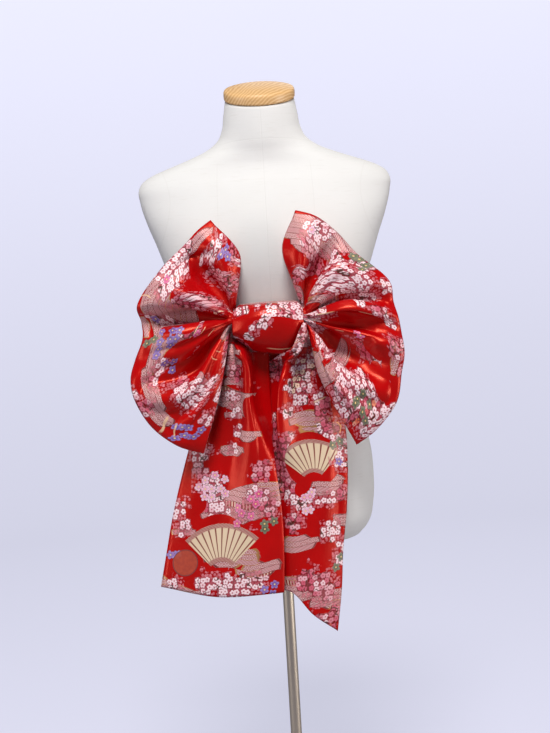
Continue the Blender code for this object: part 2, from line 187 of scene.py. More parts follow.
TAIL_RIGHT = (
    (771, 771, 771, 48.5, -150, 47.5, -151.5, 46.5, -152.6, 45.3, -153, 44, -152.6),
    (762, 762, 762, 48.6, -147, 46.8, -150.5, 43.8, -153.2, 40.8, -153.8, 38, -153),
    (751, 751, 751, 49, -142, 46.5, -148.5, 42, -153, 37.5, -153.6, 33.5, -152),
    (738, 738, 738, 57, -122, 49, -139, 38, -151, 31, -152.6, 27, -150),
    (721, 721, 721, 66, -100, 45, -118, 25, -140, 15, -126, 1, -111),
    (711, 711, 711, 71, -101, 45, -118, 17, -135, 10, -106, -13, -96.5),
    (690, 690, 690, 82, -105, 46, -121, 7, -141, 5, -108, -14, -96),
    (656, 656, 656, 92, -107, 50, -122, 0, -144, 0, -112, -14, -97),
    (610, 610, 610, 98, -107, 54, -122, -2, -142, -1, -116, -16, -101),
    (555, 555, 555, 98, -107, 54, -122, 5, -126, -8, -114, -24, -109),
    (489, 489, 489, 93, -106, 50, -121, 3, -121, -10, -113, -26, -110),
    (425, 425, 425, 84, -106, 46, -121, 2, -121, -10, -113, -26, -110),
    (370, 382, 396, 79, -107, 42, -121, 1, -121, -10, -114, -26, -111),
    (311, 339, 378, 70, -109, 36, -121, 0, -121, -10, -114, -26, -111),
)
print("fold lines:", len(WING_LEFT), len(WING_RIGHT))
print("tail rows:", len(TAIL_LEFT), len(TAIL_RIGHT))

# %% [markdown]
# ## Smooth lines and surfaces
#
# Cloth has no corners, so every line through the rows of a table is a smooth cubic. A few
# small helpers do all of this: one reads a table, one draws the smooth line, one measures
# along it. Working on whole arrays keeps them short and quick.


# %% Helpers for lines
def columns(names, rows):
    """The table as a dictionary of arrays, one for each named column."""
    return dict(zip(names, np.array(rows, float).T))


def smooth_through(knots, values, at):
    """A smooth curve through values[i] at knots[i]: cubics whose slopes agree at each knot."""
    knots, values = np.asarray(knots, float), np.asarray(values, float)
    shape = (-1,) + (1,) * (values.ndim - 1)
    slope = np.gradient(values, knots, axis=0)
    left = np.clip(np.searchsorted(knots, at, side="right") - 1, 0, len(knots) - 2)
    width = (knots[left + 1] - knots[left]).reshape(shape)
    t = (np.asarray(at) - knots[left]).reshape(shape) / width
    start = (1 + 2 * t) * (1 - t) ** 2 * values[left] + t * (1 - t) ** 2 * width * slope[left]
    end = t * t * (3 - 2 * t) * values[left + 1] - t * t * (1 - t) * width * slope[left + 1]
    return start + end


def between(knots, steps):
    """Places that cut each stretch between two knots into equal steps, both ends kept."""
    knots = np.asarray(knots, float)
    steps = np.broadcast_to(steps, len(knots) - 1)
    parts = [np.linspace(a, b, n, endpoint=False) for a, b, n in zip(knots, knots[1:], steps)]
    return np.concatenate(parts + [knots[-1:]])


def running(steps, axis=0):
    """Running totals of the steps along an axis, starting from 0."""
    total = np.cumsum(steps, axis=axis)
    return np.concatenate([np.zeros_like(np.take(total, [0], axis=axis)), total], axis=axis)


def along(points, power=1.0):
    """The distance along a line of points; a power of a half keeps bends tight."""
    return running(np.linalg.norm(np.diff(points, axis=0), axis=1) ** power)


def closed_ring(grid, axis=1):
    """The grid with its first column repeated after its last, so that it closes."""
    return np.concatenate([grid, np.take(grid, [0], axis=axis)], axis=axis)


def superellipse(angle, square):
    """The two factors of a rounded-square section at an angle from its first axis."""
    power = 2.0 / square
    c, s = np.cos(angle), np.sin(angle)
    return np.sign(c) * np.abs(c) ** power, np.sign(s) * np.abs(s) ** power


def bell(distance, width):
    """A smooth bump: 1 at no distance, and next to nothing past three widths."""
    return np.exp(-0.5 * (distance / width) ** 2)


print("middle of a smooth line:", smooth_through([0, 1, 2], [0.0, 1.0, 0.0], [0.5]))

# %% [markdown]
# ## Creases
#
# Brocade is stiff, so it bends in a few long soft creases that fan out of the knot and die
# away. We press each one in: a line on the cloth, a depth and a width.


# %% Creases
POINTED, EARLY, FULL = 1.5, 0.65, 0.8


def pressed(across, along_at, table):
    """How far cloth is pressed in at each point, in millimetres.

    Each row of the table is a trough. Its line slants from one place across the cloth to
    another, it is a pointed bell in section, and it is deepest in its first third.
    """
    across, along_at = across[:, None], along_at[None, :]
    total = np.zeros(np.broadcast_shapes(across.shape, along_at.shape))
    for start_a, end_a, start_b, end_b, depth, width in table:
        run = np.clip((along_at - start_b) / (end_b - start_b), 0, 1)
        line = start_a + (end_a - start_a) * run
        section = np.exp(-np.abs((across - line) / width) ** POINTED)
        total = total + depth * np.sin(np.pi * run ** EARLY) ** FULL * section
    return total


def out_of(surface, ring=False):
    """Unit normals of a grid of points: the cross product of its two directions."""
    down = np.gradient(surface, axis=0)
    if ring:
        across = (np.roll(surface, -1, axis=1) - np.roll(surface, 1, axis=1)) / 2
    else:
        across = np.gradient(surface, axis=1)
    normal = np.cross(across, down)
    return normal / np.maximum(np.linalg.norm(normal, axis=-1, keepdims=True), 1e-9)


def facing(normal, front):
    """The normals, turned if need be so that those at `front` look towards the viewer."""
    return -normal if normal[front][..., 1].mean() > 0 else normal


print("depth of one crease:", pressed(np.zeros(1), np.array([0.5]), [(0, 0, 0, 1, 3, 1)]))

# %% [markdown]
# ## Thin walls and turned solids
#
# A wall of cloth is two skins a millimetre or so apart, joined along the open edges, where
# the cloth thins out. The form and its wooden disc are solids, made of rings of points one
# above the other. Both are closed shapes, so every face has an outside.


# %% Walls and solids
WALL = 1.2
EDGE_SHARES = (0.35, 0.85)
END_SHARES = np.array([0.02, 0.5, 0.985])[:, None, None]


def quads(grid):
    """The four corners of every cell of a grid, in order round the cell."""
    corners = (grid[:-1, :-1], grid[:-1, 1:], grid[1:, 1:], grid[1:, :-1])
    return np.stack(corners, axis=2).reshape((-1, 4) + grid.shape[2:])


def soft_edge(count, open_edge=True):
    """The share of the full thickness for each row: thinner in the last two at an edge."""
    share = np.ones(count)
    if open_edge:
        share[[0, -1]], share[[1, -2]] = EDGE_SHARES
    return share


def mesh_object(name, points, faces, finish, uv=None):
    """A smooth mesh object from points in mm, with the flat cloth's coordinates as its UV map."""
    mesh = bpy.data.meshes.new(name)
    mesh.from_pydata((points.reshape(-1, 3) * MM).tolist(), [], faces)
    if uv is not None:
        layer = mesh.uv_layers.new(name="cloth")
        layer.uv.foreach_set("vector", (uv * MM).astype(np.float32).ravel())
    mesh.materials.append(finish)
    mesh.shade_smooth()
    made = bpy.data.objects.new(name, mesh)
    bpy.context.scene.collection.objects.link(made)
    return made


def thin_cloth(name, surface, uv, finish, ring=False):
    """A closed thin wall: every point goes half the thickness out and half in.

    On a ring the last column joins the first, and `uv` has one column more than the surface.
    """
    rows, cols = surface.shape[:2]
    share = soft_edge(rows)[:, None] * soft_edge(cols, open_edge=not ring)[None, :]
    away = out_of(surface, ring) * (WALL / 2 * share)[..., None]
    points = np.stack([surface + away, surface - away])
    index = np.arange(2 * rows * cols).reshape(2, rows, cols)
    skin, lining = closed_ring(index, axis=2) if ring else index
    faces = [quads(skin), quads(lining)[:, ::-1]]
    maps = [quads(uv), quads(uv)[:, ::-1]]
    edges = [(0, slice(None), 1), (-1, slice(None), -1)]
    if not ring:
        edges += [(slice(None), 0, -1), (slice(None), -1, 1)]
    for at_row, at_col, way in edges:
        over, under = skin[at_row, at_col][::way], lining[at_row, at_col][::way]
        flat = uv[at_row, at_col][::way]
        faces.append(np.stack([over[1:], over[:-1], under[:-1], under[1:]], axis=1))
        maps.append(np.stack([flat[1:], flat[:-1], flat[:-1], flat[1:]], axis=1))
    faces = np.concatenate(faces).tolist()
    return mesh_object(name, points, faces, finish, np.concatenate(maps))


def end_rings(rim, shares):
    """Smaller rings in the plane of a rim, each the rim drawn to its middle by a share."""
    middle = rim.mean(axis=1, keepdims=True)
    return middle + (rim - middle) * shares


def turned_solid(name, rings, finish):
    """A closed solid through rings of points, bottom to top, with flat ends.

    Three rings lie in each end. The widest is next to the rim and keeps it crisp.
    """
    low, high = end_rings(rings[:1], END_SHARES), end_rings(rings[-1:], END_SHARES[::-1])
    rings = np.concatenate([low, rings, high])
    rows, cols = rings.shape[:2]
    index = np.arange(rows * cols).reshape(rows, cols)
    faces = quads(closed_ring(index)).tolist() + [index[0, ::-1].tolist(), index[-1].tolist()]
    return mesh_object(name, rings, faces, finish)


print("thickness of the cloth:", WALL, "mm, and at its open edge:", EDGE_SHARES[0] * WALL, "mm")

# %% [markdown]
# ## Wiring a finish
#
# A finish is worked out by shader nodes. Wiring them by hand is slow to read, so we wrap a
# node's output in a small class that knows plus, times and the like. A line of arithmetic
# then adds the nodes for us, and reads as the formula that it is.


# %% Values
def feed(slot, item):
    """Links a value to an input, or sets the input to a plain number, colour or place."""
    if isinstance(item, Value):
        item.tree.links.new(item.socket, slot)
    elif isinstance(item, tuple) and len(item) == 3 and slot.type == "RGBA":
        slot.default_value = (*item, 1.0)
    else:
        slot.default_value = item


def shader_node(tree, kind, inputs, **settings):
    """A new shader node with its settings made, and its inputs fed by name or number."""
    made = tree.nodes.new("ShaderNode" + kind)
    for word, setting in settings.items():
        setattr(made, word, setting)
    feed_all(made, inputs)
    return made


def feed_all(node, inputs):
    """Feeds each named or numbered input of a node."""
    for slot, item in inputs.items():
        feed(node.inputs[slot], item)


def arithmetic(kind, *items):
    """One arithmetic node on the items, the first of which is a Value."""
    return Value(shader_node(items[0].tree, "Math", dict(enumerate(items)), operation=kind))


class Value:
    """A number, colour or place that the shader works out at every point of a surface."""

    def __init__(self, node, output=0):
        """The value that an output of a node gives, by the output's name or number."""
        self.socket = node.outputs[output]
        self.tree = node.id_data

    def __rsub__(self, other):
        """other - self, in one node: self times -1, plus other."""
        return arithmetic("MULTIPLY_ADD", self, -1.0, other)

    def rise(self, low, high):
        """0 below low, 1 above high and a smooth slope between; low above high falls."""
        ends = (0.0, 1.0) if low < high else (1.0, 0.0)
        span = {"From Min": min(low, high), "From Max": max(low, high)}
        inputs = {"Value": self, **span, "To Min": ends[0], "To Max": ends[1]}
        made = shader_node(self.tree, "MapRange", inputs, interpolation_type="SMOOTHSTEP")
        return Value(made, "Result")


ARITHMETIC = {
    "__add__": "ADD", "__radd__": "ADD", "__sub__": "SUBTRACT", "__truediv__": "DIVIDE",
    "__mul__": "MULTIPLY", "__rmul__": "MULTIPLY", "__pow__": "POWER", "floor": "FLOOR",
    "least": "MINIMUM", "most": "MAXIMUM", "size": "ABSOLUTE", "part": "FRACT",
    "sine": "SINE", "cosine": "COSINE", "angle_from": "ARCTAN2",
}
for word, kind in ARITHMETIC.items():
    setattr(Value, word, lambda *items, kind=kind: arithmetic(kind, *items))
print("a value knows", len(ARITHMETIC) + 2, "kinds of arithmetic")

# %% [markdown]
# ## Places, chances and colours
#
# A pattern needs a few things more: the place of a point on the flat cloth or in space, the
# way and the distance to another place, soft chance, and one colour laid over another. Each
# is a single node, so each helper here is only a line or two.


# %% Helpers for finishes
def position(x, y, z=0.0):
    """A place made of two or three values."""
    return Value(shader_node(x.tree, "CombineXYZ", {0: x, 1: y, 2: z}))


def split(point):
    """The three values that a place is made of."""
    made = shader_node(point.tree, "SeparateXYZ", {0: point})
    return [Value(made, number) for number in range(3)]


def minus(a, b):
    """The way from place b to place a."""
    return Value(shader_node(a.tree, "VectorMath", {0: a, 1: b}, operation="SUBTRACT"), "Vector")


def length(way):
    """The length of a way."""
    return Value(shader_node(way.tree, "VectorMath", {0: way}, operation="LENGTH"), "Value")


def turned(way, angle):
    """The way as it looks from axes that are turned by an angle in radians."""
    inputs = {"Vector": way, "Angle": -angle}
    return Value(shader_node(way.tree, "VectorRotate", inputs, rotation_type="Z_AXIS"))


def mottle(point, per_metre, detail=1.0, dimensions="2D"):
    """Soft random unevenness from 0 to 1, with so many swings to the metre."""
    inputs = {"Vector": point, "Scale": per_metre, "Detail": detail}
    return Value(shader_node(point.tree, "TexNoise", inputs, noise_dimensions=dimensions))


def scattered(point, spacing, jitter):
    """Seeds strewn over the cloth: way from the nearest one, its place and three chances."""
    inputs = {"Vector": point, "Scale": 1.0 / spacing, "Randomness": jitter}
    made = shader_node(point.tree, "TexVoronoi", inputs, voronoi_dimensions="2D")
    seed = Value(made, "Position")
    return minus(point, seed), seed, split(Value(made, "Color"))


MIX_SHARE, MIX_UNDER, MIX_TOP, MIX_COLOUR = 0, 6, 7, 2


def over(share, top, under):
    """Colour `top` laid over colour `under` where share is 1."""
    inputs = {MIX_SHARE: share, MIX_UNDER: under, MIX_TOP: top}
    return Value(shader_node(share.tree, "Mix", inputs, data_type="RGBA"), MIX_COLOUR)


def srgb(red, green, blue):
    """A screen colour from 0 to 255 as the linear colour that a shader wants."""
    shade = np.array([red, green, blue]) / 255.0
    linear = np.where(shade > 0.04045, ((shade + 0.055) / 1.055) ** 2.4, shade / 12.92)
    return tuple(float(part) for part in linear)


def new_finish(name):
    """An empty finish: its material, its one shader and its node tree."""
    made = bpy.data.materials.new(name)
    made.use_nodes = True
    return made, made.node_tree.nodes["Principled BSDF"], made.node_tree


def cloth_place(tree):
    """The place on the flat cloth, in metres, from the piece's own UV map."""
    return Value(shader_node(tree, "UVMap", {}, uv_map="cloth"))


def object_place(tree):
    """The place in space, in metres, from the piece's own axes."""
    return Value(shader_node(tree, "TexCoord", {}), "Object")


def raise_by(shader, height, distance):
    """Relief: a height from 0 to 1 that stands `distance` metres at its most."""
    feed(shader.inputs["Normal"], Value(shader_node(height.tree, "Bump", {
        "Strength": 1.0, "Distance": distance, "Height": height,
    })))


print("mid grey of a screen in linear light:", [round(x, 3) for x in srgb(128, 128, 128)])

# %% [markdown]
# ## The silks
#
# The brocade has a vivid red satin ground, and figures woven in white, pink, silver, purple,
# green and gold silk. Most figures need two silks, one for what is raised and one for what
# lies under it, so the colours are kept in pairs.

# %% Colours of the silk
SILK = {
    name: tuple(srgb(*code) for code in codes)
    for name, codes in {
        "ground": ((198, 2, 9), (160, 0, 6)),
        "scales": ((226, 198, 196), (166, 84, 90)),
        "lines": ((220, 188, 188), (170, 78, 88)),
        "bars": ((222, 192, 174), (142, 30, 34)),
        "fan ribs": ((122, 44, 34), (226, 204, 172)),
        "fan band": ((196, 160, 150), (150, 62, 52)),
        "petals": ((250, 222, 228), (206, 84, 110)),
        "warm petals": ((255, 224, 196), (226, 104, 56)),
        "bough": ((172, 74, 90), (112, 8, 22)),
        "disc": ((188, 66, 30), (150, 34, 18)),
        "iris": ((92, 54, 152), (166, 138, 208)),
        "pale flower": ((226, 140, 182), (246, 214, 226)),
        "peony": ((206, 44, 118), (238, 136, 182)),
        "sprig": ((66, 80, 58), (134, 138, 110)),
    }.items()
}
# The streak colour is pale silk in the short woven bars, and a painted highlight in the long
# streaks on ridges, rims and folds.
OUTLINE, TWIG, GOLD, PALE_BAR_AND_HIGHLIGHT = (
    srgb(104, 40, 44), srgb(84, 40, 34), srgb(226, 168, 104), srgb(236, 198, 156),
)
BUD, BUD_SHADE = srgb(216, 124, 138), srgb(132, 14, 30)
PETAL_GAP, PETAL_HEART, PETAL_RIM = srgb(200, 90, 110), srgb(172, 44, 62), srgb(132, 30, 46)
POSY_RIM, POSY_HEART = srgb(92, 30, 52), srgb(240, 206, 130)
print("red ground in linear light:", [round(x, 3) for x in SILK["ground"][0]])

# %% [markdown]
# ## Flowers, scales and fans
#
# All the figures are ordinary traditional ones: sprays of small blossoms, banded mist,
# single large flowers and folding fans. Each is a short formula on the flat cloth, so it
# bends and folds with the cloth and stays sharp when seen close up.


# %% Figures
FULL_TURN, PETALS = 6.28, 5
FAR_OFF, FAR_SHARE = (9.0, 9.0, 0.0), 100.0


def flower_out(way, turn, size, notch):
    """How far out a point lies in a flower (1 at the petals' edge), and its petal share.

    The edge is a circle that swings in and out once for each petal.
    """
    x, y, _ = split(way)
    lobe = ((y.angle_from(x) + turn) * (PETALS / 2)).cosine().size()
    return length(way) / (lobe * notch + (1 - notch)) / size, lobe


def nearness(place, patches, squash=1.0):
    """The distance to the nearest patch, as a share of that patch's radius.

    With a squash below 1, `place` has its across value squashed, so the patches are wide.
    """
    nearest = length(minus(place, FAR_OFF)) * FAR_SHARE
    for across, down, radius in patches:
        nearest = nearest.least(length(minus(place, (across * squash, down, 0.0))) / radius)
    return nearest


def toned(place, patches):
    """The distance to the nearest patch, as before, and that patch's tone from 0 to 1."""
    nearest = length(minus(place, FAR_OFF)) * FAR_SHARE
    tone = nearest * 0.0
    for across, down, radius, shade in patches:
        away = length(minus(place, (across, down, 0.0))) / radius
        closer = (nearest - away).rise(0.0, 0.001)
        tone = tone + (shade - tone) * closer
        nearest = nearest.least(away)
    return nearest, tone


def scales(x, y, size, rings):
    """Overlapping rows of rings, like waves or fish scales: 1 on a ring and 0 beside it."""
    row = (y * (2 / size)).floor()
    across = (x / size + (row * 0.5).part()).part() - 0.5
    up = (y * (2 / size)).part() * 0.5
    own = (across ** 2 + up ** 2) ** 0.5
    next_one = ((across.size() - 0.5) ** 2 + (up - 0.5) ** 2) ** 0.5
    inside = own.rise(0.5, 0.49)
    away = own * inside + next_one * (1 - inside)
    return (away * (4 * np.pi * rings)).cosine().rise(-0.2, 0.5)


def fan_marks(here, place, turn, inner, outer, half_degrees, bars):
    """A sector of a ring: its inside, its bars and its two edge bands, each from 0 to 1."""
    soft, soft_angle, half_span = 0.0004, 0.02, np.radians(half_degrees)
    way = turned(minus(here, place), turn)
    x, y, _ = split(way)
    away, angle = length(way), y.angle_from(x)
    inside = away.rise(inner, inner + soft) * away.rise(outer, outer - soft)
    inside = inside * angle.size().rise(half_span, half_span - soft_angle)
    bar = (angle * (bars / (2 * half_span))).part()
    bar = (bar - 0.5).size().rise(0.36, 0.42)
    middle = (inner + outer) / 2
    band = (away - middle).size().rise((outer - inner) * 0.36, (outer - inner) * 0.40)
    return inside, bar, band


KIND_STEP = 0.25
IRIS, PALE, PEONY, SPRIG = (KIND_STEP * number for number in range(4))
FLOWERS = ("iris", "pale flower", "peony", "sprig")


def tones_of(kind):
    """The deep and the pale colour of a kind of flower, picked from the list by a value."""
    deep, pale = SILK[FLOWERS[0]]
    for number, flower in enumerate(FLOWERS[1:]):
        next_deep, next_pale = SILK[flower]
        past = kind.rise(0.12 + KIND_STEP * number, 0.13 + KIND_STEP * number)
        deep, pale = over(past, next_deep, deep), over(past, next_pale, pale)
    return deep, pale


print("kinds of large flower:", len(FLOWERS))

# %% [markdown]
# ## The cloth as it is woven
#
# A brocade starts as plain ground, and one kind of figure after another is laid over it.
# Three things are kept as it grows: its colour, how high its figures stand, which makes
# them less glossy than the satin, and where gold thread shows. The fine hatches that fill
# the mist and the fans are worked out once. Wherever something is left to soft chance, the
# first table says how many times it swings in a metre of cloth.


# %% A piece of brocade
SWINGS = {
    "ground": 22.0, "figures": 11.0, "sag": 12.0, "mist edge": 22.0, "gold": 18.0,
    "disc": 160.0, "spray edge": 60.0, "bud edge": 45.0, "white": 15.0, "warm": 9.0,
    "twig": 34.0,
}
HATCH_SIZE, HATCH_RINGS = 0.0088, 2
LINE_SPACING, LINE_SLANT, BAR_SPACING = 0.0021, 0.35, 0.0046


class Weave:
    """A brocade as it grows: its colour, the height of its figures, and its gold thread."""

    def __init__(self, name, shift, calm):
        """Plain ground, and the hatches: sines of the place, and scales that overlap."""
        self.made, self.shader, tree = new_finish(name)
        self.here, self.shift = cloth_place(tree), shift
        self.x, self.y, _ = split(self.here)
        self.elsewhere = minus(self.here, (*shift, 0.0))
        self.calm = nearness(self.here, calm).rise(1.2, 0.9) * 9.0 if calm else self.x * 0.0
        slant = self.x * LINE_SLANT + self.y
        self.lines = (slant * (2 * np.pi / LINE_SPACING)).sine().rise(-0.3, 0.4)
        self.hatch = scales(self.x, self.y, HATCH_SIZE, HATCH_RINGS)
        self.bars = (self.x * (2 * np.pi / BAR_SPACING)).sine().rise(-0.1, 0.25)
        self.colour = over(mottle(self.here, SWINGS["ground"], 2.0), *SILK["ground"])
        self.figure = self.gold = None

    def lay(self, inside, colour, height=None, bare=None):
        """A colour laid where `inside` is 1, as high as `height`, with no gold in `bare`."""
        self.colour = over(inside, colour, self.colour)
        if height is not None:
            self.figure = self.figure.most(height)
        if bare is not None:
            self.gold = self.gold * (1 - bare)


print("lines to the centimetre:", round(0.01 / LINE_SPACING, 1))

# %% [markdown]
# ## Mist, fans, discs, pale bars and painted highlights
#
# Mist drifts across the cloth in bands with a dark outline, filled with scales, lines or
# bars by turns. Open fans lie on it here and there. Plain discs are rare, and a streak is a
# long pale wisp: a short one is a woven bar, and a long one on a ridge, a rim or the knot's
# lower fold is a painted highlight.


# %% Mist and fans
MIST_BAND, MIST_SAG, MIST_SQUASH, MIST_SHARE = 0.0080, 0.022, 0.38, 0.61
KIND_STRIDE = 0.618


def mist(weave, patches):
    """Drifting mist, woven in bands: its inside, its outlines, and each band's kind.

    A point is inside where it is near a patch. The distance is drawn out sideways and pulled
    about by a soft random line. The bands run across the cloth and sag a little.
    """
    x, y, calm = weave.x, weave.y, weave.calm
    sag = y + mottle(position(x, y * 0.2), SWINGS["sag"]) * MIST_SAG
    band = sag / MIST_BAND
    level = position(x * MIST_SQUASH, (band.floor() + 0.5) * MIST_BAND * 0.6 + y * 0.4)
    swing = mottle(position(x * 0.6, band.floor() * 0.37), SWINGS["mist edge"]) - 0.5
    shifted = minus(position(x * MIST_SQUASH, y), (*weave.shift, 0.0))
    chance = mottle(shifted, SWINGS["figures"])
    by_chance = 1 + (MIST_SHARE - chance) * 10.0 + calm
    far = nearness(level, patches, MIST_SQUASH).least(by_chance) + swing * 0.8
    inside = far.rise(1.0, 0.97)
    across = (band.part() - 0.5).size()
    outline = inside * far.rise(0.90, 0.93).most(across.rise(0.44, 0.48))
    return inside, outline, (band.floor() * KIND_STRIDE + 0.1).part()


def lay_mist(weave, patches):
    """The mist with its three fillings, and gold thread in some of its outlines."""
    inside, outline, kind = mist(weave, patches)
    scaled, lined = over(weave.hatch, *SILK["scales"]), over(weave.lines, *SILK["lines"])
    fill = over(kind.rise(0.40, 0.42), scaled, lined)
    fill = over(kind.rise(0.93, 0.95), over(weave.bars, *SILK["bars"]), fill)
    weave.lay(inside, over(outline, OUTLINE, fill))
    weave.figure = inside * (0.35 + weave.hatch * 0.3)
    some = mottle(weave.elsewhere, SWINGS["gold"]).rise(0.50, 0.60)
    weave.gold = inside * outline * some


def lay_fans(weave, fans):
    """Folding fans: dark ribs on a pale leaf, with a lined band along both its edges."""
    for fan in fans:
        inside, bar, band = fan_marks(weave.here, *fan)
        leaf = over(bar, *SILK["fan ribs"])
        leaf = over(band, over(weave.lines, *SILK["fan band"]), leaf)
        weave.lay(inside, leaf, inside * 0.8, inside)


def lay_discs(weave, discs):
    """Plain round discs with a thin dark rim."""
    for across, down, radius in discs:
        out = length(minus(weave.here, (across, down, 0.0))) / radius
        inside = out.rise(1.0, 0.97)
        disc = over(mottle(weave.here, SWINGS["disc"], 2.0), *SILK["disc"])
        weave.lay(inside, over(out.rise(0.90, 0.94), OUTLINE, disc), inside * 0.7)


def lay_bars_and_highlights(weave, bars_and_highlights):
    """Long pale wisps that fade out towards their ends and sides: short ones are woven bars, long
    ones are painted highlights.
    """
    for place, turn, half, half_width in bars_and_highlights:
        long, wide, _ = split(turned(minus(weave.here, place), turn))
        inside = long.size().rise(half, half * 0.6) * wide.size().rise(half_width, half_width * 0.5)
        # Pale streak: woven where it is a short bar, a painted highlight where it lies long on a
        # ridge or fold.
        weave.lay(inside * 0.85, PALE_BAR_AND_HIGHLIGHT, inside * 0.6)


print("bands of mist to the decimetre:", 0.1 / MIST_BAND)

# %% [markdown]
# ## Blossoms and large flowers
#
# Seeds are strewn over the cloth, and each may carry a flower of its own turn and tint. A
# flower is woven where its seed lies in a planned patch or, beyond the patches, where soft
# chance is high, so that the hidden sides are patterned too. Buds make a haze round each
# spray of blossoms.


# %% Blossoms
BLOSSOM = {"apart": 0.0086, "jitter": 0.55, "size": 0.0049, "notch": 0.26}
BUDS = {"apart": 0.0047, "jitter": 0.7, "size": 0.0024, "notch": 0.30}
POSY = {"apart": 0.0135, "jitter": 0.65, "size": 0.0076, "notch": 0.42}
BLOSSOM_SHARE = 0.59


def strewn(place, apart, jitter, size, notch):
    """A flower on every seed: how far out in it, its petal share, its seed and two chances."""
    way, seed, (turn, tint, hue) = scattered(place, apart, jitter)
    out, lobe = flower_out(way, turn * FULL_TURN, size, notch)
    return out, lobe, seed, tint, hue


def lay_buds(weave, near):
    """A haze of buds round the sprays, each bud by its own seed."""
    out, _, seed, tint, _ = strewn(weave.elsewhere, **BUDS)
    haze = (near + (mottle(seed, SWINGS["bud edge"]) - 0.5) * 1.1).rise(1.32, 1.26)
    bud = haze * out.rise(1.0, 0.85)
    weave.lay(haze * 0.45, BUD_SHADE)
    weave.lay(bud * (0.35 + tint * 0.65), BUD, bud * 0.6)


def petal_colour(weave, shade, planned, blossom):
    """The petals of a blossom, pink to white, some of them warm, and how white they are.

    In a planned patch the patch's shade sets how white they are, and elsewhere chance does.
    """
    out, lobe, seed, tint, hue = blossom
    white_chance = mottle(seed, SWINGS["white"]).rise(0.42, 0.58)
    white = shade * planned + white_chance * (1 - planned)
    warm = shade.rise(1.05, 1.15) * planned * hue.rise(0.6, 0.7)
    white = (white + (tint - 0.5) * 0.7).rise(0.05, 0.80)
    petal = over(white, *SILK["petals"])
    warm_chance = mottle(weave.elsewhere, SWINGS["warm"]) + (hue - 0.5) * 0.2
    warm = warm.most(warm_chance.rise(0.74, 0.78) * (1 - planned))
    petal = over(warm, over(white, *SILK["warm petals"]), petal)
    petal = over(lobe.rise(0.24, 0.08) * out.rise(0.85, 0.5), PETAL_GAP, petal)
    petal = over(out.rise(0.24, 0.18), PETAL_HEART, petal)
    return over(out.rise(0.84, 0.93), PETAL_RIM, petal), white


def lay_blossoms(weave, patches):
    """Sprays of blossoms on dark boughs with fine twigs, in a haze of buds."""
    blossom = strewn(weave.here, **BLOSSOM)
    out, seed = blossom[0], blossom[2]
    trees, shade = toned(seed, patches)
    chance = mottle(minus(seed, (*weave.shift[::-1], 0.0)), SWINGS["figures"])
    by_chance = 1 + (BLOSSOM_SHARE - chance) * 12.0 + weave.calm
    near = (trees + (mottle(seed, SWINGS["spray edge"]) - 0.5) * 0.9).least(by_chance)
    lay_buds(weave, near)

    there = near.rise(1.0, 0.98)
    petal, white = petal_colour(weave, shade, trees.rise(1.7, 1.5), blossom)
    inside = there * out.rise(1.0, 0.97)
    wander = mottle(weave.elsewhere, SWINGS["twig"], 2.0) - 0.5
    twig = wander.size().rise(0.016, 0.008) * there
    weave.lay(there * 0.85, over(white, *SILK["bough"]))
    weave.lay(inside, petal, inside * out.rise(1.0, 0.7))
    weave.lay(twig, TWIG, bare=there)


def lay_posies(weave, patches):
    """Single large flowers with a dark outline, of the kind that their patch asks for."""
    if not patches:
        return
    out, lobe, seed, tint, _ = strewn(weave.here, **POSY)
    nearest, kind = toned(seed, patches)
    deep, pale = tones_of(kind)
    petal = over(out.rise(0.35, 0.95), pale, over(tint * 0.5, pale, deep))
    petal = over(lobe.rise(0.22, 0.06) * out.rise(0.95, 0.6), OUTLINE, petal)
    petal = over((out - 0.93).size().rise(0.08, 0.05), POSY_RIM, petal)
    petal = over(out.rise(0.22, 0.17), POSY_HEART, petal)
    inside = out.rise(1.0, 0.97) * nearest.rise(1.0, 0.98)
    weave.lay(inside, petal, inside, inside)


print("blossoms to the decimetre:", round(0.1 / BLOSSOM["apart"], 1))

# %% [markdown]
# ## The brocade
#
# Now one function weaves a whole piece, from the ground up. The satin is glossy with a red
# tint to its shine, as light that goes in and out of red silk has. The raised figures are
# duller, and gold thread shines as metal does.


# %% Brocade
TWILL_SPACING, TWILL_SHARE, RELIEF = 0.0011, 0.08, 0.00022
SATIN_SHINE, FIGURE_SHINE = (1.0, 0.20, 0.12), (1.0, 0.86, 0.80)


def brocade(
    name, shift, blossoms=(), clouds=(), posies=(), discs=(), fans=(), bars_and_highlights=(), calm=()
):
    """The brocade of one piece: its figures, from the ground up, and how the silk shines.

    Patches are (across, down, radius) in metres of flat cloth. Away from the patches the
    figures go on by chance, apart from the places that are to stay calm.
    """
    weave = Weave(name, shift, calm)
    lay_mist(weave, clouds)
    lay_fans(weave, fans)
    lay_blossoms(weave, blossoms)
    lay_posies(weave, posies)
    lay_discs(weave, discs)
    weave.lay(weave.gold * 0.8, GOLD)
    # Pale bars, and painted highlights on ridges and folds.
    lay_bars_and_highlights(weave, bars_and_highlights)
    twill = ((weave.x + weave.y) * (2 * np.pi / TWILL_SPACING)).sine() * TWILL_SHARE
    feed_all(weave.shader, {
        "Base Color": weave.colour,
        "Metallic": weave.gold * 0.7,
        "Roughness": 0.27 + weave.figure * 0.20,
        "Specular Tint": over(weave.figure, FIGURE_SHINE, SATIN_SHINE),
        "IOR": 1.7,
        "Specular IOR Level": 0.65,
    })
    raise_by(weave.shader, weave.figure + twill, RELIEF)
    return weave.made


print("relief of the figures:", round(RELIEF / MM, 2), "mm")

# %% [markdown]
# ## Form, wood and metal
#
# The form is a padded body with a tight cover of off-white linen, cut in panels: seams run
# down its middle and over each bust point, and round the neck and the armholes. Its neck is
# closed by a turned disc of pale wood. The pole and foot are plain dull metal.


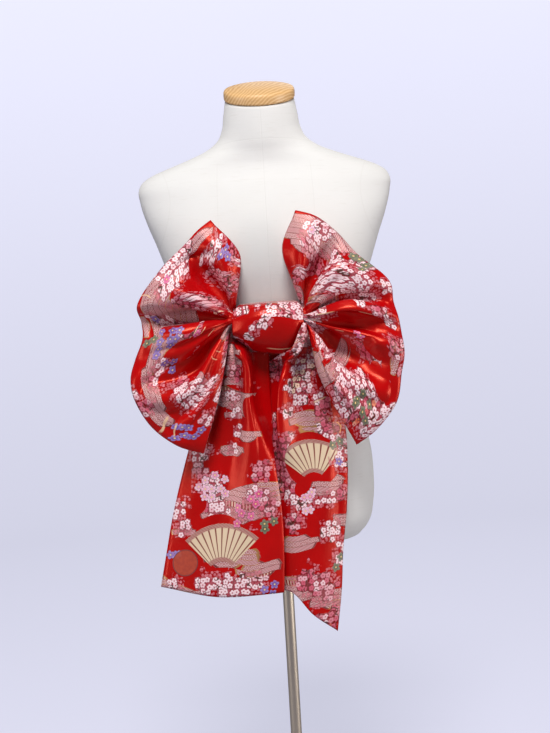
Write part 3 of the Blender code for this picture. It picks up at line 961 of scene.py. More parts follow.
# %% Finishes of the form
WAIST_LEVEL = 0.710
BUST_SEAM_OUT, BUST_SEAM_LEAN, BUST_SEAM_TURN, BUST_SEAM_BEND = 0.052, 0.10, 0.145, 0.55
ARM_OUT, ARM_LEVEL, ARM_TALL, ARM_DEEP, ARM_RADIUS = 0.182, 0.948, 0.72, 0.55, 0.050
NECK_LEVEL, NECK_SLANT, SIDE_BACK = 1.036, 0.12, 0.006
PANEL_SEAM, ROUND_SEAM, SIDE_SEAM = 0.0011, 0.0013, 0.0012
LINEN = srgb(227, 228, 227), srgb(218, 218, 216)
SLUB, GROOVE = srgb(204, 202, 196), srgb(170, 164, 154)
WOOD = srgb(238, 198, 142), srgb(216, 168, 108)
PORE = srgb(170, 118, 66)
THREAD_WAVES, GRAIN_WAVES, GRAIN_MIDDLE = 5200.0, 1500.0, (0.07, 1.02)
STAIN_SHARE = 0.82


def seam(away, width):
    """A sewn seam: 1 in the groove between two panels, and 0 a few threads off it."""
    return away.size().rise(width, width * 0.3)


def seams(x, y, z):
    """All the grooves of the cover, each where a distance from a line is nothing.

    The lines are the middle one, one that curves over each bust point, a ring round each
    armhole, a slanting cut round the neck, and the join of front and back at the sides.
    """
    up = z - WAIST_LEVEL
    curve = BUST_SEAM_OUT + up * BUST_SEAM_LEAN - (up - BUST_SEAM_TURN) ** 2 * BUST_SEAM_BEND
    bust = x.size() - curve
    arm = (x.size() - ARM_OUT) ** 2 + ((z - ARM_LEVEL) * ARM_TALL) ** 2 + (y * ARM_DEEP) ** 2
    neck = z - NECK_LEVEL + y * NECK_SLANT
    grooves = seam(x, PANEL_SEAM).most(seam(bust, PANEL_SEAM) * z.rise(1.01, 1.0))
    grooves = grooves.most(seam(arm ** 0.5 - ARM_RADIUS, ROUND_SEAM)).most(seam(neck, ROUND_SEAM))
    return grooves.most(seam(y - SIDE_BACK, SIDE_SEAM) * x.size().rise(0.07, 0.09))


def linen(name):
    """Off-white plain weave with slubs, and the grooves of the cover's seams."""
    made, shader, tree = new_finish(name)
    here = object_place(tree)
    x, y, z = split(here)
    grooves = seams(x, y, z)
    threads = (x * THREAD_WAVES).sine() * (z * THREAD_WAVES).sine() * 0.5 + 0.5
    slub = mottle(position(x * 40.0, y * 40.0, z * 400.0), 1.0, 2.0, "3D")
    tone = over(mottle(here, 9.0, 3.0, "3D"), *LINEN)
    tone = over(slub.rise(0.55, 0.8) * 0.25, SLUB, tone)
    feed_all(shader, {
        "Base Color": over(grooves * 0.05, GROOVE, tone),
        "Roughness": 0.82,
        "Sheen Weight": 0.15,
        "Sheen Roughness": 0.5,
    })
    raise_by(shader, (threads * 0.25 + slub * 0.4) - grooves * 0.6, 0.00014)
    return made


def wood(name):
    """Pale turned wood: rings of grain, bent a little, with darker pores along them."""
    made, shader, tree = new_finish(name)
    x, y, z = split(object_place(tree))
    bent = mottle(position(x * 3.0, y * 3.0, z * 0.6), 8.0, 2.0, "3D") * 0.012
    away = ((x - GRAIN_MIDDLE[0]) ** 2 + (z - GRAIN_MIDDLE[1]) ** 2) ** 0.5
    rings = ((away + bent) * GRAIN_WAVES).sine().rise(-0.9, 1.0)
    pores = mottle(position(x * 900.0, y * 60.0, z * 900.0), 1.0, 2.0, "3D").rise(0.60, 0.75)
    feed_all(shader, {
        "Base Color": over(pores * 0.4, PORE, over(rings, *WOOD)),
        "Roughness": 0.42 + pores * 0.2,
        "Coat Weight": 0.15,
        "Coat Roughness": 0.3,
    })
    raise_by(shader, 1 - pores, 0.00015)
    return made


def dull_metal(name, tone, brushed):
    """Dull plated steel, finely scratched along `brushed`: swings to the metre in x, y, z."""
    made, shader, tree = new_finish(name)
    x, y, z = split(object_place(tree))
    marks = mottle(position(x * brushed[0], y * brushed[1], z * brushed[2]), 1.0, 3.0, "3D")
    stain = mottle(position(x, y, z), 14.0, 3.0, "3D")
    feed_all(shader, {
        "Base Color": over(stain, tone, tuple(STAIN_SHARE * part for part in tone)),
        "Roughness": 0.30 + marks * 0.22,
        "Metallic": 1.0,
    })
    raise_by(shader, marks, 0.00004)
    return made


print("the neck's seam lies at", NECK_LEVEL, "m and the waist at", WAIST_LEVEL, "m")

# %% [markdown]
# ## The knot's section
#
# The knot's section is a rounded square that changes from station to station, with a ridge
# across its front. The loops need it too, because their gathers fill it from the inside.


# %% Section of the knot
def knot_section(x, angle, inset=0.0):
    """Points of the knot's section: angle 0 is its front line and 90 degrees its top."""
    table = columns(KNOT_COLUMNS, KNOT)
    clipped = np.clip(x, table["x"][0], table["x"][-1])
    read = {key: smooth_through(table["x"], table[key], np.ravel(clipped)) for key in KNOT_COLUMNS}
    read = {key: value.reshape(np.shape(clipped)) for key, value in read.items()}
    square = np.where(np.sin(angle) < 0, KNOT_SQUARE_BELOW, KNOT_SQUARE_ABOVE)
    fore, up = superellipse(angle, square)
    above = read["top"] - inset - read["ridge"]
    below = read["ridge"] - read["bottom"] - inset
    forward = KNOT_CORE_Y - read["front"] - inset
    backward = read["back"] - inset - KNOT_CORE_Y
    y = KNOT_CORE_Y - fore * np.where(fore >= 0, forward, backward)
    z = read["ridge"] + up * np.where(up >= 0, above, below)
    return np.stack(np.broadcast_arrays(x, y, z), axis=-1)


def mouth(angle, depth):
    """How far the open end of the knot is cut back at its top, where the loop comes out."""
    return depth * np.clip(np.sin(angle), 0, 1) ** 4


print("front of the knot:", knot_section(0.0, np.array(0.0)).round(1))

# %% [markdown]
# ## The loops
#
# Each loop is one strip of brocade, folded end to end and gathered into the knot. We draw
# its fold lines one by one: out of the knot, over the front, round the rolled far end and
# back behind into the knot. Ridges stand forward and valleys lie back, and the gathers
# bring all the lines close together where the knot grips them.


# %% Surface of a loop
LINE_STEPS = (2, 3, 10, 14, 22, 9, 9, 18, 12, 3, 2)
FOLD_STEPS = 14


def pleats(mid_y):
    """How deep each fold line goes in where the loop is gathered: the valleys go deepest."""
    around = np.pad(mid_y, 1, mode="reflect", reflect_type="odd")
    dent = mid_y - (around[:-2] + around[2:]) / 2
    return NECK["pleat"] * np.clip(dent / np.abs(dent).max(), 0, 1)


def gather(x, turn, pleat, taper=0.0, dip=0.0, fan=0.0):
    """The fold lines' places on the gathered strip at x, each at its turn round the knot."""
    inset = NECK["inset"]
    x = np.broadcast_to(x, len(turn))
    top = knot_section(x, np.full(len(x), np.pi / 2), inset)[:, 2] - dip
    front = knot_section(x, np.zeros(len(x)), inset + taper)[:, 1]
    back = knot_section(x, np.full(len(x), np.pi), inset + taper)[:, 1]
    fore, up = superellipse(turn, NECK["square"])
    reach = np.where(fore >= 0, KNOT_CORE_Y - front, back - KNOT_CORE_Y)
    half = (top - NECK["bottom"]) / 2
    z = NECK["bottom"] + half * (1 + up * (1 - pleat)) + fan * np.clip(-np.sin(turn), 0, 1)
    return np.stack([x, KNOT_CORE_Y - fore * reach * (1 - pleat), z], axis=-1)


def loop_keys(table, side, mouth_depth):
    """The twelve places that each fold line runs through.

    Key 0 is the front gather inside the knot, 2 the knot's edge, 3 a place just outside it,
    4 the middle of the front, 6 the far end of the loop and 11 the gather behind.
    """
    mid, tip = ([table[name + axis] for axis in ("_x", "_y", "_z")] for name in ("mid", "tip"))
    roll, count = table["roll"], len(table["roll"])
    angle = np.radians(np.linspace(NECK["span"], -NECK["span"], count))
    pleat, behind = pleats(table["mid_y"]), np.pi - angle
    mouth_x = KNOT[0][0] if side < 0 else KNOT[-1][0]
    exit_x = mouth_x - side * (mouth(angle, mouth_depth) - NECK["out"])
    inner_x, before_x = NECK["left" if side < 0 else "right"], exit_x - side * NECK["straight"]
    taper, dip, fan = NECK["taper"], NECK["dip"], NECK["fan"]
    pull = BACK["pull"] * roll / np.hypot(mid[0] - tip[0], mid[2] - tip[2])
    roll_x, roll_z = tip[0] + (mid[0] - tip[0]) * pull, tip[2] + (mid[2] - tip[2]) * pull
    back_x = mouth_x + (mid[0] - mouth_x) * BACK["width"]
    back_y = BACK["y"] + BACK["wave"] * (mid[1] - mid[1].mean())
    edge, middle = gather(exit_x, angle, pleat, taper, dip), np.stack(mid, axis=-1)
    near = np.array([NEAR["spread"], NEAR["rise"], NEAR["spread"]])
    return np.stack([
        gather(inner_x, angle, pleat, fan=fan),
        gather(before_x, angle, pleat, taper, dip, fan),
        edge,
        edge + (middle - edge) * near,
        middle,
        np.stack([roll_x, tip[1] - roll, roll_z], axis=-1),
        np.stack(tip, axis=-1),
        np.stack([roll_x, tip[1] + roll, roll_z], axis=-1),
        np.stack([back_x, back_y, mid[2]], axis=-1),
        gather(exit_x, behind, pleat, taper, dip),
        gather(before_x, behind, pleat, taper, dip, fan),
        gather(inner_x, behind, pleat, fan=fan),
    ])


def loop_surface(rows, side, mouth_depth):
    """Middle of a loop's wall, its place across (fold number) and along (stage number).

    The stages count the keys, apart from the one just outside the knot, which is 2.4: the
    knot's edge is 2, the middle of the front 3, the far end 5 and the gather behind 10.
    """
    table = columns(WING_COLUMNS, rows)
    keys = loop_keys(table, side, mouth_depth)
    lines = []
    for row in range(len(rows)):
        places = along(keys[:, row], power=0.5)
        lines.append(smooth_through(places, keys[:, row], between(places, LINE_STEPS)))
    ends = np.stack([table[key] for key in ("mid_x", "mid_y", "mid_z", "tip_x", "tip_y", "tip_z")])
    spacing = along(ends.T)
    surface = smooth_through(spacing, np.array(lines), between(spacing, FOLD_STEPS))
    stage = np.r_[0.0, 1.0, 2.0, 2.4, np.arange(3, len(keys) - 1)]
    return surface, between(np.arange(len(rows)), FOLD_STEPS), between(stage, LINE_STEPS)


print("across one loop:", FOLD_STEPS * (len(WING_LEFT) - 1) + 1, "points")
print("along it:", sum(LINE_STEPS) + 1, "points")

# %% [markdown]
# ## The flat cloth
#
# The woven figures belong to the flat strip, so each point needs its place on the strip as
# it was before it was folded. We measure down and across along the finished surface. Where
# a figure should show at a certain place in front, we look up which point of the strip lies
# there, and weave the figure round it.


# %% Flat cloth
TIP_STAGE, VALLEY_WIDTH, VALLEY_SHARE = 5.0, 0.16, 0.6
FORWARD_COUNTS = 0.4


def loop_uv(surface, fold, stage, valleys, width):
    """The flat cloth's coordinates: down from the far end, and across from the middle.

    The cloth keeps its size on the ridges. What is missing across, where the gathers draw
    the loop in, is hidden in the valleys, so the pattern is broken there as in real folds.
    """
    down = running(np.linalg.norm(np.diff(surface, axis=1), axis=-1), axis=1)
    down = down - down[:, [int(np.searchsorted(stage, TIP_STAGE))]]
    across = np.linalg.norm(np.diff(surface, axis=0), axis=-1)
    middle = (fold[1:] + fold[:-1]) / 2
    taken = sum(bell(middle - valley, VALLEY_WIDTH) for valley in valleys)
    taken = taken / taken.sum()
    missing = np.maximum(width - across.sum(axis=0), 0)
    across = running(across + taken[:, None] * missing * VALLEY_SHARE)
    across = across - across[[len(fold) // 2]]
    return np.stack([across, down], axis=-1)


def spot(surface, uv, x, z):
    """Where, on the flat cloth in metres, a piece shows at (x, z) in a front view.

    It is the point nearest to (x, z), where a layer further back counts as further off.
    """
    off = np.hypot(surface[..., 0] - x, surface[..., 2] - z) + FORWARD_COUNTS * surface[..., 1]
    row, col = np.unravel_index(np.argmin(off), off.shape)
    return float(uv[row, col, 0]) * MM, float(uv[row, col, 1]) * MM


def placed(surface, uv, rows):
    """Patches given by where they show, (x, z, radius, ...), as patches of the flat cloth."""
    return [(*spot(surface, uv, x, z), radius * MM, *tone) for x, z, radius, *tone in rows]


def placed_turned(surface, uv, rows):
    """Fans, pale bars and painted highlights: (x, z, turn in degrees, two sizes, ...), likewise."""
    return [
        ((*spot(surface, uv, x, z), 0.0), np.radians(turn), first * MM, second * MM, *rest)
        for x, z, turn, first, second, *rest in rows
    ]


def pattern(name, surface, uv, figures, shift):
    """The brocade of a piece from its figures, each given by where it shows in front."""
    flat = {
        kind: (placed_turned if kind in ("fans", "bars_and_highlights") else placed)(surface, uv, rows)
        for kind, rows in figures.items()
    }
    return brocade(name + " brocade", shift, **flat)


print("share of the missing width that a valley takes in:", VALLEY_SHARE)

# %% [markdown]
# ## Creases of the loops
#
# The tables give each crease one by one. Across is counted in fold lines from the top edge,
# along from the knot's edge (2) over the middle (3) to the far end (5). Short sharp ones
# crowd round the knot, long soft ones run out over the front, and a soft groove follows
# the far end, where the cloth rolls over. Behind, the creases are fewer and longer.

# %% Creases of the loops
LEFT_CREASES = (
    (0.7, 0.8, 2.0, 3.4, 4.0, 0.26),
    (1.9, 2.0, 2.0, 4.5, 9.0, 0.34),
    (2.6, 3.1, 2.1, 3.7, 5.5, 0.22),
    (3.4, 3.5, 2.2, 4.4, -3.5, 0.26),
    (4.0, 4.2, 2.0, 3.4, 4.0, 0.20),
    (5.0, 5.0, 2.0, 4.6, 11.0, 0.30),
    (5.6, 5.9, 2.1, 4.2, -4.5, 0.24),
    (6.5, 6.8, 2.0, 4.1, 6.5, 0.24),
    (7.2, 7.7, 2.0, 3.9, 6.0, 0.22),
    (7.7, 8.4, 2.0, 4.4, 8.5, 0.26),
    (8.5, 9.2, 2.1, 4.0, -4.0, 0.24),
    (8.9, 9.9, 2.0, 3.8, 6.5, 0.24),
    (9.8, 10.5, 2.1, 4.4, 6.0, 0.28),
    (10.7, 11.1, 2.0, 3.5, 4.5, 0.22),
    (1.1, 3.3, 3.3, 4.5, 4.5, 0.34),
    (4.3, 3.5, 3.1, 4.6, -3.5, 0.30),
    (6.2, 5.5, 3.3, 4.6, 3.5, 0.28),
    (7.4, 8.9, 3.3, 4.6, 4.5, 0.36),
    (10.2, 9.1, 3.2, 4.5, 4.0, 0.30),
    (11.3, 10.6, 3.0, 4.6, 3.0, 0.26),
    (1.5, 1.8, 5.6, 7.9, 4.5, 0.34),
    (3.6, 3.2, 5.9, 8.0, 5.0, 0.32),
    (5.4, 5.0, 5.6, 7.9, 4.5, 0.32),
    (7.2, 7.4, 5.8, 8.0, 5.5, 0.34),
    (9.3, 8.6, 5.6, 7.9, 5.0, 0.32),
    (10.8, 10.2, 6.0, 8.0, 4.0, 0.30),
)
RIGHT_CREASES = (
    (0.8, 0.9, 2.0, 3.6, 4.5, 0.24),
    (1.8, 2.0, 2.0, 4.4, 9.0, 0.28),
    (2.4, 2.9, 2.1, 3.8, -4.0, 0.24),
    (3.3, 3.8, 2.0, 3.5, 4.5, 0.22),
    (4.7, 5.0, 2.0, 4.4, 8.0, 0.28),
    (5.4, 5.8, 2.1, 4.5, -5.0, 0.24),
    (6.5, 6.6, 2.0, 4.4, 7.5, 0.24),
    (7.1, 7.3, 2.0, 3.6, 7.0, 0.30),
    (7.8, 8.0, 2.0, 3.3, 7.0, 0.34),
    (8.7, 8.9, 2.0, 4.2, 11.0, 0.34),
    (9.5, 9.8, 2.1, 4.2, -4.5, 0.22),
    (10.0, 10.5, 2.0, 4.0, 6.0, 0.24),
    (11.1, 11.4, 2.0, 3.8, 4.0, 0.24),
    (2.4, 3.8, 3.4, 4.6, 4.0, 0.34),
    (4.4, 3.6, 3.1, 4.5, -3.0, 0.28),
    (6.9, 6.1, 3.2, 4.6, 4.0, 0.26),
    (8.2, 7.2, 3.3, 4.6, -4.5, 0.30),
    (9.2, 9.6, 3.4, 4.6, 4.5, 0.34),
    (10.6, 9.9, 3.2, 4.5, 4.0, 0.28),
    (1.2, 1.6, 5.8, 7.9, 4.5, 0.32),
    (3.0, 3.4, 5.6, 8.0, 5.0, 0.34),
    (5.2, 4.8, 5.9, 7.9, 4.5, 0.30),
    (6.6, 7.2, 5.6, 8.0, 5.5, 0.34),
    (8.8, 8.9, 5.8, 7.9, 4.5, 0.32),
    (10.9, 10.4, 5.7, 8.0, 4.5, 0.32),
)
LEFT_RIM = (
    (4.05, 4.15, 0.6, 4.6, 1.3, 0.10),
    (4.20, 4.10, 5.4, 8.0, 0.9, 0.10),
    (4.10, 4.00, 7.4, 11.6, 1.9, 0.11),
    (5.60, 5.80, 1.0, 6.2, 1.2, 0.14),
    (5.70, 5.55, 6.6, 11.4, 1.3, 0.14),
)
RIGHT_RIM = (
    (4.10, 4.20, 0.8, 4.4, 1.1, 0.10),
    (4.15, 4.05, 4.4, 7.4, 0.9, 0.10),
    (4.10, 4.20, 7.2, 11.4, 1.5, 0.11),
    (5.60, 5.75, 0.8, 5.8, 1.2, 0.14),
    (5.75, 5.60, 6.2, 11.6, 1.3, 0.14),
)
print("creases:", len(LEFT_CREASES) + len(LEFT_RIM), "and", len(RIGHT_CREASES) + len(RIGHT_RIM))

# %% [markdown]
# ## Figures of the loops
#
# Each figure is given by where it shows in front: its place to the right, its height and
# its radius. A spray of blossoms has its whiteness after that, from 0 for pink to 1 for
# white, and a large flower its kind. A streak, which is a woven pale bar when short and a
# painted highlight when long, has its turn in degrees, its half length and its half width.
# Chance puts no figures near the calm places.

# %% Figures of the loops
LEFT_FIGURES = {
    "blossoms": (
        (-74, 886, 16, 1.0), (-93, 869, 8, 0.9), (-135, 842, 13, 1.0), (-156, 822, 10, 1.0),
        (-116, 808, 27, 0.3), (-77, 845, 15, 0.4), (-58, 832, 24, 0.15), (-162, 719, 12, 0.9),
        (-122, 678, 26, 0.9), (-98, 690, 16, 0.8), (-100, 640, 12, 0.5), (-176, 700, 10, 0.4),
    ),
    "clouds": (
        (-92, 908, 9), (-104, 900, 9), (-119, 889, 8), (-133, 876, 7), (-147, 861, 6),
        (-187, 684, 14), (-178, 650, 12), (-194, 778, 7), (-112, 700, 6), (-90, 690, 5),
    ),
    "posies": (
        (-62, 877, 14, IRIS), (-147, 766, 20, IRIS), (-166, 788, 9, IRIS), (-150, 722, 15, IRIS),
        (-166, 742, 9, IRIS), (-130, 626, 19, IRIS), (-180, 756, 13, SPRIG), (-152, 840, 8, PEONY),
        (-110, 768, 8, PEONY),
    ),
    # The three long streaks are painted glints of gold thread on the rims; the five short slanted
    # ones are woven bars.
    "bars_and_highlights": (
        (-178, 822, 75, 14, 1.3), (-164, 636, 55, 20, 2.2), (-150, 628, 50, 16, 1.2),
        (-108, 770, 25, 6, 1.0), (-98, 768, 25, 6, 1.0), (-88, 765, 25, 6, 1.0),
        (-86, 727, -20, 8, 1.0), (-79, 735, -20, 8, 1.0),
    ),
    "calm": (
        (-62, 800, 20), (-130, 740, 18), (-80, 770, 20), (-112, 722, 16), (-90, 715, 16),
        (-150, 786, 16), (-120, 782, 14),
    ),
}
RIGHT_FIGURES = {
    "blossoms": (
        (116, 827, 34, 1.0), (93, 858, 18, 0.9), (140, 806, 14, 0.8), (166, 815, 11, 1.0),
        (66, 850, 12, 0.3), (54, 880, 12, 0.3), (167, 764, 11, 0.9), (84, 728, 13, 0.8),
        (96, 700, 20, 0.9), (110, 682, 18, 0.8), (90, 660, 18, 0.5), (147, 627, 11, 1.0),
        (122, 607, 12, 0.9), (166, 640, 9, 1.0), (68, 742, 11, 0.8), (174, 728, 15, 0.25),
        (152, 782, 10, 0.3), (182, 692, 10, 0.2),
    ),
    "clouds": (
        (40, 914, 8), (60, 906, 9), (80, 896, 9), (46, 888, 8), (56, 826, 9), (176, 700, 6),
        (72, 752, 6), (80, 724, 6),
    ),
    "posies": (
        (133, 850, 17, SPRIG), (124, 650, 19, SPRIG), (66, 902, 9, PALE), (122, 748, 8, PEONY),
    ),
    # Painted highlights along the crest of the middle ridge.
    "bars_and_highlights": ((76, 777, 88, 16, 1.3), (134, 778, 88, 12, 1.1), (96, 757, 86, 9, 0.9)),
    "calm": (
        (100, 790, 20), (80, 770, 16), (120, 765, 16), (140, 730, 14), (150, 680, 18),
        (160, 665, 14),
    ),
}
print("sprays:", len(LEFT_FIGURES["blossoms"]), "and", len(RIGHT_FIGURES["blossoms"]))

# %% [markdown]
# ## Building the loops
#
# Now the parts come together: the surface, its creases, its flat coordinates, its brocade
# and its thin wall. Creases get shallower where the fold lines run close together, so that
# the cloth doesn't cut through itself at the knot.


# %% Loops
LOOP_WIDTH, FOLD_SPREAD, LEAST_SPREAD, MOST_SPREAD = 400.0, 26.0, 0.12, 1.15
FRONT_STAGES = 4.5


def build_loop(name, rows, side, mouth_depth, table, rim, valleys, figures, shift):
    """A loop with its creases pressed in, patterned by where its figures show in front."""
    surface, fold, stage = loop_surface(rows, side, mouth_depth)
    normal = facing(out_of(surface), np.s_[:, stage < FRONT_STAGES])
    spread = np.linalg.norm(np.gradient(surface, fold, axis=0), axis=-1)
    spread = np.clip(spread / FOLD_SPREAD, LEAST_SPREAD, MOST_SPREAD)
    depth = pressed(fold, stage, table) * spread + pressed(stage, fold, rim).T
    surface = surface - normal * depth[..., None]
    uv = loop_uv(surface, fold, stage, valleys, LOOP_WIDTH)
    return thin_cloth(name, surface, uv, pattern(name, surface, uv, figures, shift)), uv


left_loop, left_uv = build_loop(
    "loop_left", WING_LEFT, -1, MOUTH_LEFT, LEFT_CREASES, LEFT_RIM, (2, 5, 8, 10.5),
    LEFT_FIGURES, (0.31, 0.12),
)
right_loop, right_uv = build_loop(
    "loop_right", WING_RIGHT, 1, MOUTH_RIGHT, RIGHT_CREASES, RIGHT_RIM, (2, 5, 7, 9),
    RIGHT_FIGURES, (0.73, 0.48),
)
for made, uv in ((left_loop, left_uv), (right_loop, right_uv)):
    print(made.name, len(made.data.polygons), "faces, flat", np.ptp(uv, axis=(0, 1)).round())

# %% [markdown]
# ## The tails
#
# The tails are the two ends of the sash. They come out from under the knot, where they are
# drawn together, spread as they fall, and turn in towards the middle along a soft ridge.
# The left hem is cut straight and the right one on a slant. A tail's creases are counted in
# lines across and in rows down.

# %% Creases and figures of the tails
LEFT_TAIL_CREASES = (
    (1.2, 1.5, 1.8, 7.0, 7.0, 0.20),
    (1.7, 2.3, 2.0, 5.6, -4.5, 0.16),
    (0.6, 0.5, 2.2, 8.0, 6.0, 0.24),
    (2.4, 2.6, 3.0, 7.4, 1.5, 0.14),
    (1.7, 1.1, 3.6, 9.7, 5.0, 0.28),
    (0.9, 0.2, 4.6, 9.8, -4.0, 0.26),
    (2.2, 1.9, 5.2, 9.9, 4.5, 0.26),
    (1.4, 0.7, 6.4, 9.9, 3.0, 0.16),
)
RIGHT_TAIL_CREASES = (
    (1.4, 1.2, 1.8, 6.4, 7.0, 0.20),
    (0.7, 0.5, 2.0, 7.5, 5.5, 0.22),
    (1.8, 2.3, 2.0, 5.4, -4.5, 0.16),
    (2.4, 2.6, 3.0, 7.2, 1.5, 0.14),
    (1.1, 1.7, 4.4, 10.6, 5.0, 0.28),
    (0.3, 0.8, 5.4, 10.8, -4.0, 0.26),
    (2.5, 2.2, 6.4, 10.8, 3.5, 0.24),
    (0.35, 0.25, 8.8, 10.95, 2.0, 0.07),
)

LEFT_TAIL_FIGURES = {
    "blossoms": (
        (-118, 588, 15, 0.6), (-154, 505, 14, 0.9), (-150, 480, 12, 0.9), (-122, 396, 14, 0.9),
        (-92, 392, 17, 1.0), (-66, 394, 16, 0.9), (-44, 396, 12, 0.8), (-165, 398, 10, 0.9),
        (-28, 560, 14, 0.1), (-20, 505, 14, 0.2), (-62, 646, 9, 0.9), (-58, 616, 9, 0.9),
        (-64, 668, 10, 0.6), (-120, 560, 12, 0.1), (-66, 592, 7, 0.8),
    ),
    "clouds": (
        (-60, 728, 8), (-58, 712, 8), (-62, 697, 8), (-60, 683, 7), (-64, 634, 5),
        (-46, 606, 8), (-70, 580, 8), (-84, 428, 17), (-40, 410, 13), (-146, 466, 7),
    ),
    "posies": (
        (-98, 540, 24, PALE), (-60, 494, 15, PEONY), (-38, 516, 11, PEONY), (-166, 438, 9, IRIS),
        (-18, 388, 13, IRIS), (-26, 478, 14, SPRIG), (-38, 384, 8, IRIS),
    ),
    "discs": ((-150, 427, 20),),
    "fans": ((-96, 408, -91, 22, 78, 46, 11),),
    "calm": (
        (-96, 452, 38), (-120, 615, 14), (-64, 560, 18), (-128, 516, 14), (-16, 700, 14),
        (-12, 658, 18), (-37, 652, 14), (-30, 654, 16), (-24, 652, 16), (-18, 654, 16),
    ),
}
RIGHT_TAIL_FIGURES = {
    "blossoms": (
        (44, 752, 11, 0.6), (38, 728, 13, 0.8), (34, 704, 15, 1.2), (26, 680, 13, 1.2),
        (32, 658, 13, 1.0), (16, 644, 9, 0.9), (48, 676, 9, 0.4),
        (86, 566, 13, 0.9), (70, 464, 15, 1.0), (82, 440, 10, 0.9), (80, 420, 9, 0.9),
        (56, 376, 20, 0.3), (28, 392, 16, 0.2), (14, 478, 12, 0.15), (66, 340, 12, 0.3),
    ),
    "clouds": ((44, 622, 13), (64, 524, 7), (21, 440, 12), (58, 350, 12), (74, 606, 9)),
    "posies": (
        (34, 503, 20, PALE), (82, 592, 9, SPRIG), (74, 408, 14, SPRIG), (84, 560, 7, IRIS),
    ),
    "fans": ((48, 534, -88, 18, 68, 46, 9),),
    # A painted glint of gold thread.
    "bars_and_highlights": ((62, 655, 20, 12, 1.2),),
    "calm": (
        (48, 570, 36), (30, 530, 12), (45, 462, 16), (50, 430, 14), (60, 480, 12),
        (2, 705, 14), (2, 672, 12),
    ),
}
print("creases:", len(LEFT_TAIL_CREASES), "and", len(RIGHT_TAIL_CREASES))

# %% [markdown]
# ## Building the tails
#
# A tail hangs nearly flat, so its flat coordinates are simple: across is measured along
# each row, from a line a third of the way in, and down is measured along that line. A fan
# has its turn in degrees, its inner and outer radius, half its spread in degrees and the
# number of its ribs.


# %% Tails
TAIL_ACROSS, TAIL_DOWN = 14, 12


def tail_surface(rows):
    """The middle surface of a tail: its five lines, joined smoothly across and down."""
    table = columns(TAIL_COLUMNS, rows)
    levels = (table["outer_z"], table["mid_z"]) + (table["inner_z"],) * 3
    lines = np.stack([
        np.stack([table[name + "_x"], table[name + "_y"], z], axis=-1)
        for name, z in zip(TAIL_LINES, levels)
    ])
    sections = []
    for row in range(len(rows)):
        places = along(lines[:, row])
        sections.append(smooth_through(places, lines[:, row], between(places, TAIL_ACROSS)))
    spacing = along(lines.mean(axis=0))
    surface = smooth_through(spacing, np.array(sections), between(spacing, TAIL_DOWN))
    line = between(np.arange(len(TAIL_LINES)), TAIL_ACROSS)
    return surface, between(np.arange(len(rows)), TAIL_DOWN), line


def build_tail(name, rows, table, figures, shift):
    """A tail with its creases, and its flat coordinates measured across and down."""
    surface, row, line = tail_surface(rows)
    normal = facing(out_of(surface), ...)
    surface = surface - normal * pressed(line, row, table).T[..., None]
    third = len(line) // 3
    across = running(np.linalg.norm(np.diff(surface, axis=1), axis=-1), axis=1)
    middle = surface[:, third]
    down = along(middle)[:, None] + (middle[:, None, 2] - surface[..., 2])
    uv = np.stack([across - across[:, [third]], down], axis=-1)
    return thin_cloth(name, surface, uv, pattern(name, surface, uv, figures, shift)), uv


left_tail, left_tail_uv = build_tail(
    "fall_left", TAIL_LEFT, LEFT_TAIL_CREASES, LEFT_TAIL_FIGURES, (0.15, 0.66),
)
right_tail, right_tail_uv = build_tail(
    "fall_right", TAIL_RIGHT, RIGHT_TAIL_CREASES, RIGHT_TAIL_FIGURES, (0.57, 0.91),
)
for made, uv in ((left_tail, left_tail_uv), (right_tail, right_tail_uv)):
    print(made.name, len(made.data.polygons), "faces, flat", np.ptp(uv, axis=(0, 1)).round())

# %% [markdown]
# ## The knot
#
# The knot is a short strip drawn smoothly over both gathers. It is rounded, with one soft
# ridge across its front, and shallow creases where it is pulled tight. Its creases are
# counted in eighths of a turn from the front over the top, and in stations across.


# %% Knot
KNOT_SIDES, KNOT_STATIONS = 96, 12
KNOT_OUT, KNOT_IN = -1.5, 0.9
KNOT_CREASES = (
    (6.9, 6.1, 0.0, 6.0, 1.6, 0.22),
    (5.6, 5.9, 0.4, 5.0, -1.2, 0.20),
    (0.9, 0.2, 0.2, 5.6, 2.2, 0.22),
    (1.9, 1.5, 0.0, 4.2, 1.4, 0.16),
    (4.6, 5.2, 1.6, 6.0, 1.2, 0.20),
    (3.0, 3.4, 0.3, 5.7, 1.5, 0.25),
)
KNOT_FIGURES = {
    "blossoms": (
        (-50, 793, 6, 0.9), (-36, 797, 6, 1.0), (-20, 799, 6, 0.9), (-4, 800, 7, 0.9),
        (12, 800, 6, 1.0), (26, 798, 6, 0.9), (38, 793, 7, 0.9), (-4, 785, 9, 1.0),
        (-14, 777, 9, 1.0), (-23, 768, 8, 1.0), (-36, 756, 8, 1.0),
    ),
    # A painted highlight along the knot's lower fold.
    "bars_and_highlights": ((9, 734, 0, 22, 1.5),),
    "calm": ((-5, 750, 30), (20, 775, 20)),
}


def once_round(surface):
    """A ring of points with its first column repeated, and the way round to each point."""
    closed = closed_ring(surface)
    steps = np.linalg.norm(np.diff(closed, axis=1), axis=-1).mean(axis=0)
    return closed, np.broadcast_to(running(steps), closed.shape[:2])


